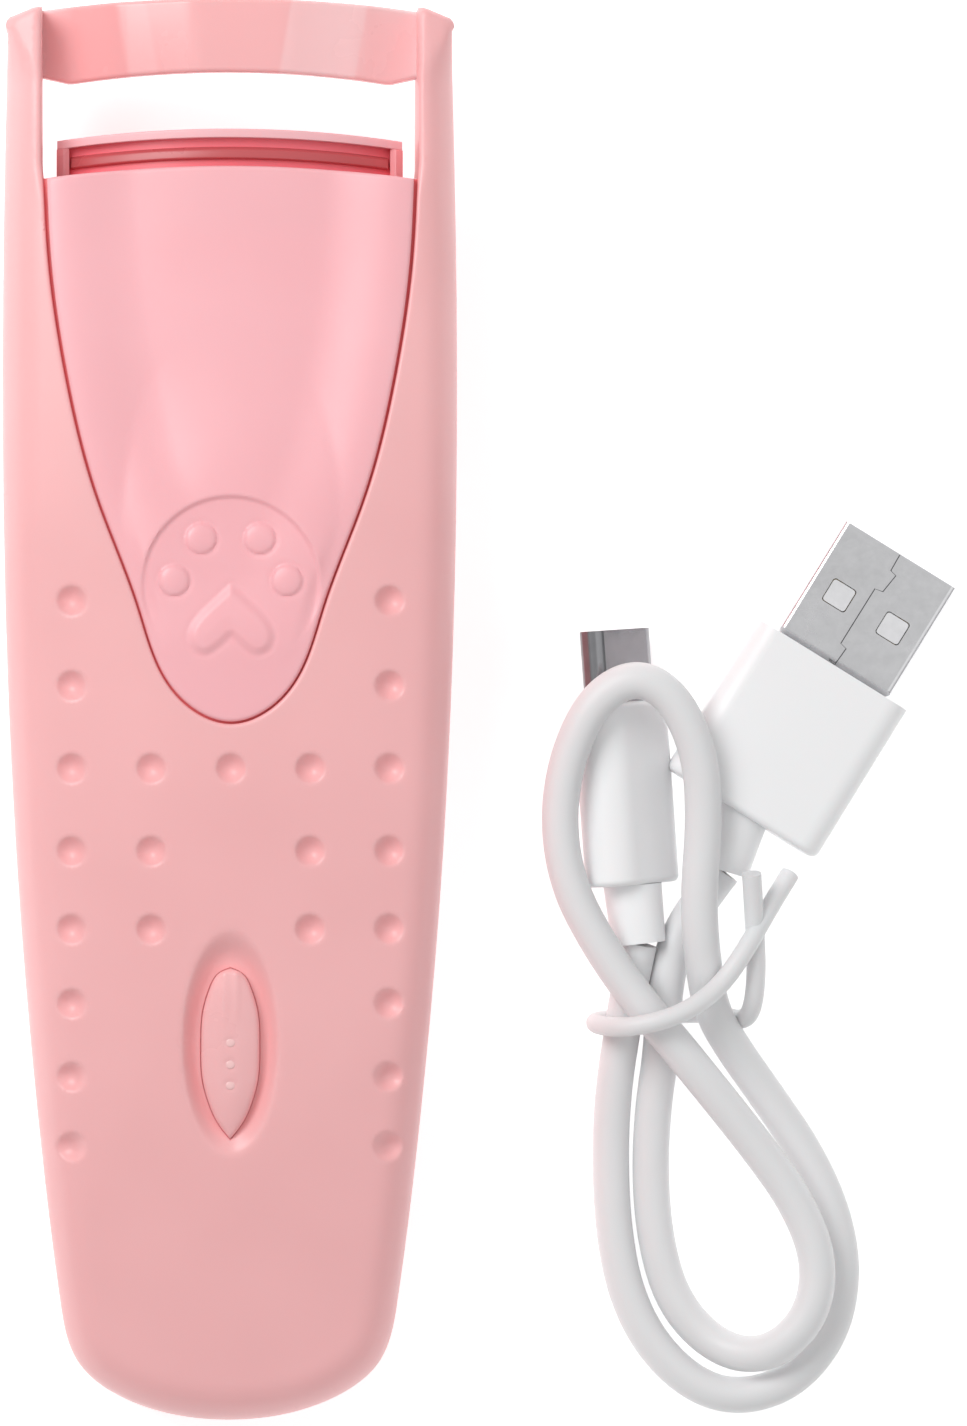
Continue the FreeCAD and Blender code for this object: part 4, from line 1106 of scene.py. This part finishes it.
def make_plug_details():
    """The spring tongues in the big plug's windows, and the folded seam between them."""
    (at_x, at_y), (half_x, half_y) = TONGUE_AT, TONGUE_HALF
    for face, side in (("front", 1), ("back", -1)):
        for number, x in enumerate((-at_x, at_x)):
            corners = [(x + a * half_x, at_y + b * half_y, TONGUE_ROUND)
                       for a, b in ((-1, -1), (1, -1), (1, 1), (-1, 1))]
            plate("plug_tongue_%s_%d" % (face, number + 1), rounded_corners(corners),
                  *sorted((side * TONGUE_LOW, side * TONGUE_HIGH)), "tongue_steel", "plug_steel")
    seam = np.array(SEAM)
    way = np.gradient(seam, axis=0)
    normal = np.stack([-way[:, 1], way[:, 0]], axis=1) / np.linalg.norm(way, axis=1)[:, None]
    outline = np.concatenate([seam + normal * SEAM_HALF, (seam - normal * SEAM_HALF)[::-1]])
    plate("plug_seam", outline[::-1], SEAM_LOW, SEAM_HIGH, "seam_grey", "black_plastic")


make_front_shell()
make_crossbar()
make_lever()
make_ledge("lever_rim", "lever", LEVER_LEDGE, -2.0, PIVOT_Y)
make_ledge("shell_rim", "handle", SHELL_LEDGE, PIVOT_Y, 48.6)
make_lever_arms()
make_spring()
make_jaw()
make_plug_details()
make_button()
make_seal()
make_lights()

# ---------------- floor and light

FLOOR_HALF, FLOOR_Z = 3000.0, -0.03


def make_floor():
    """A wide pale floor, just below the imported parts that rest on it."""
    corners = [(x * FLOOR_HALF, y * FLOOR_HALF, FLOOR_Z) for x, y in ((-1, -1), (1, -1), (1, 1), (-1, 1))]
    n = Nodes("pale_floor")
    n.join(n.ramp(n.noise(3.0), [(0.3, (0.93, 0.93, 0.93)), (0.7, (0.95, 0.95, 0.95))]),
           n.shader.inputs["Base Color"])
    n.set(Roughness=0.8, Emission_Color=(1.0, 1.0, 1.0, 1.0), Emission_Strength=0.5)
    mesh_object("floor", corners, [(0, 1, 2, 3)], "pale_floor")


def area_light(name, at, size, power):
    """A rectangular lamp turned towards the middle of the set."""
    data = bpy.data.lights.new(name, "AREA")
    data.shape = "RECTANGLE"
    data.size, data.size_y = size
    data.energy = power
    lamp = link(bpy.data.objects.new(name, data))
    lamp.location = at
    way = Vector((0.02, 0.0, 0.0)) - Vector(at)
    lamp.rotation_euler = way.to_track_quat("-Z", "Y").to_euler()


def make_light():
    """A pale studio: brightest overhead, dimmer towards the horizon, with a lamp up on the left."""
    world = bpy.data.worlds.new("studio")
    world.use_nodes = True
    tree = world.node_tree
    back = tree.nodes["Background"]
    back.inputs["Strength"].default_value = 0.62
    coords = tree.nodes.new("ShaderNodeTexCoord")
    split = tree.nodes.new("ShaderNodeSeparateXYZ")
    ramp = tree.nodes.new("ShaderNodeValToRGB")
    for element, (at, level) in zip(ramp.color_ramp.elements, ((0.0, 0.42), (1.0, 1.0))):
        element.position = at
        element.color = (level, level, level, 1.0)
    tree.links.new(coords.outputs["Generated"], split.inputs["Vector"])
    tree.links.new(split.outputs["Z"], ramp.inputs["Fac"])
    tree.links.new(ramp.outputs["Color"], back.inputs["Color"])
    bpy.context.scene.world = world
    area_light("key", (-0.26, 0.26, 0.44), (0.3, 0.3), 1.75)
    area_light("fill", (0.5, -0.1, 0.6), (0.6, 0.8), 0.6)


make_floor()
make_light()
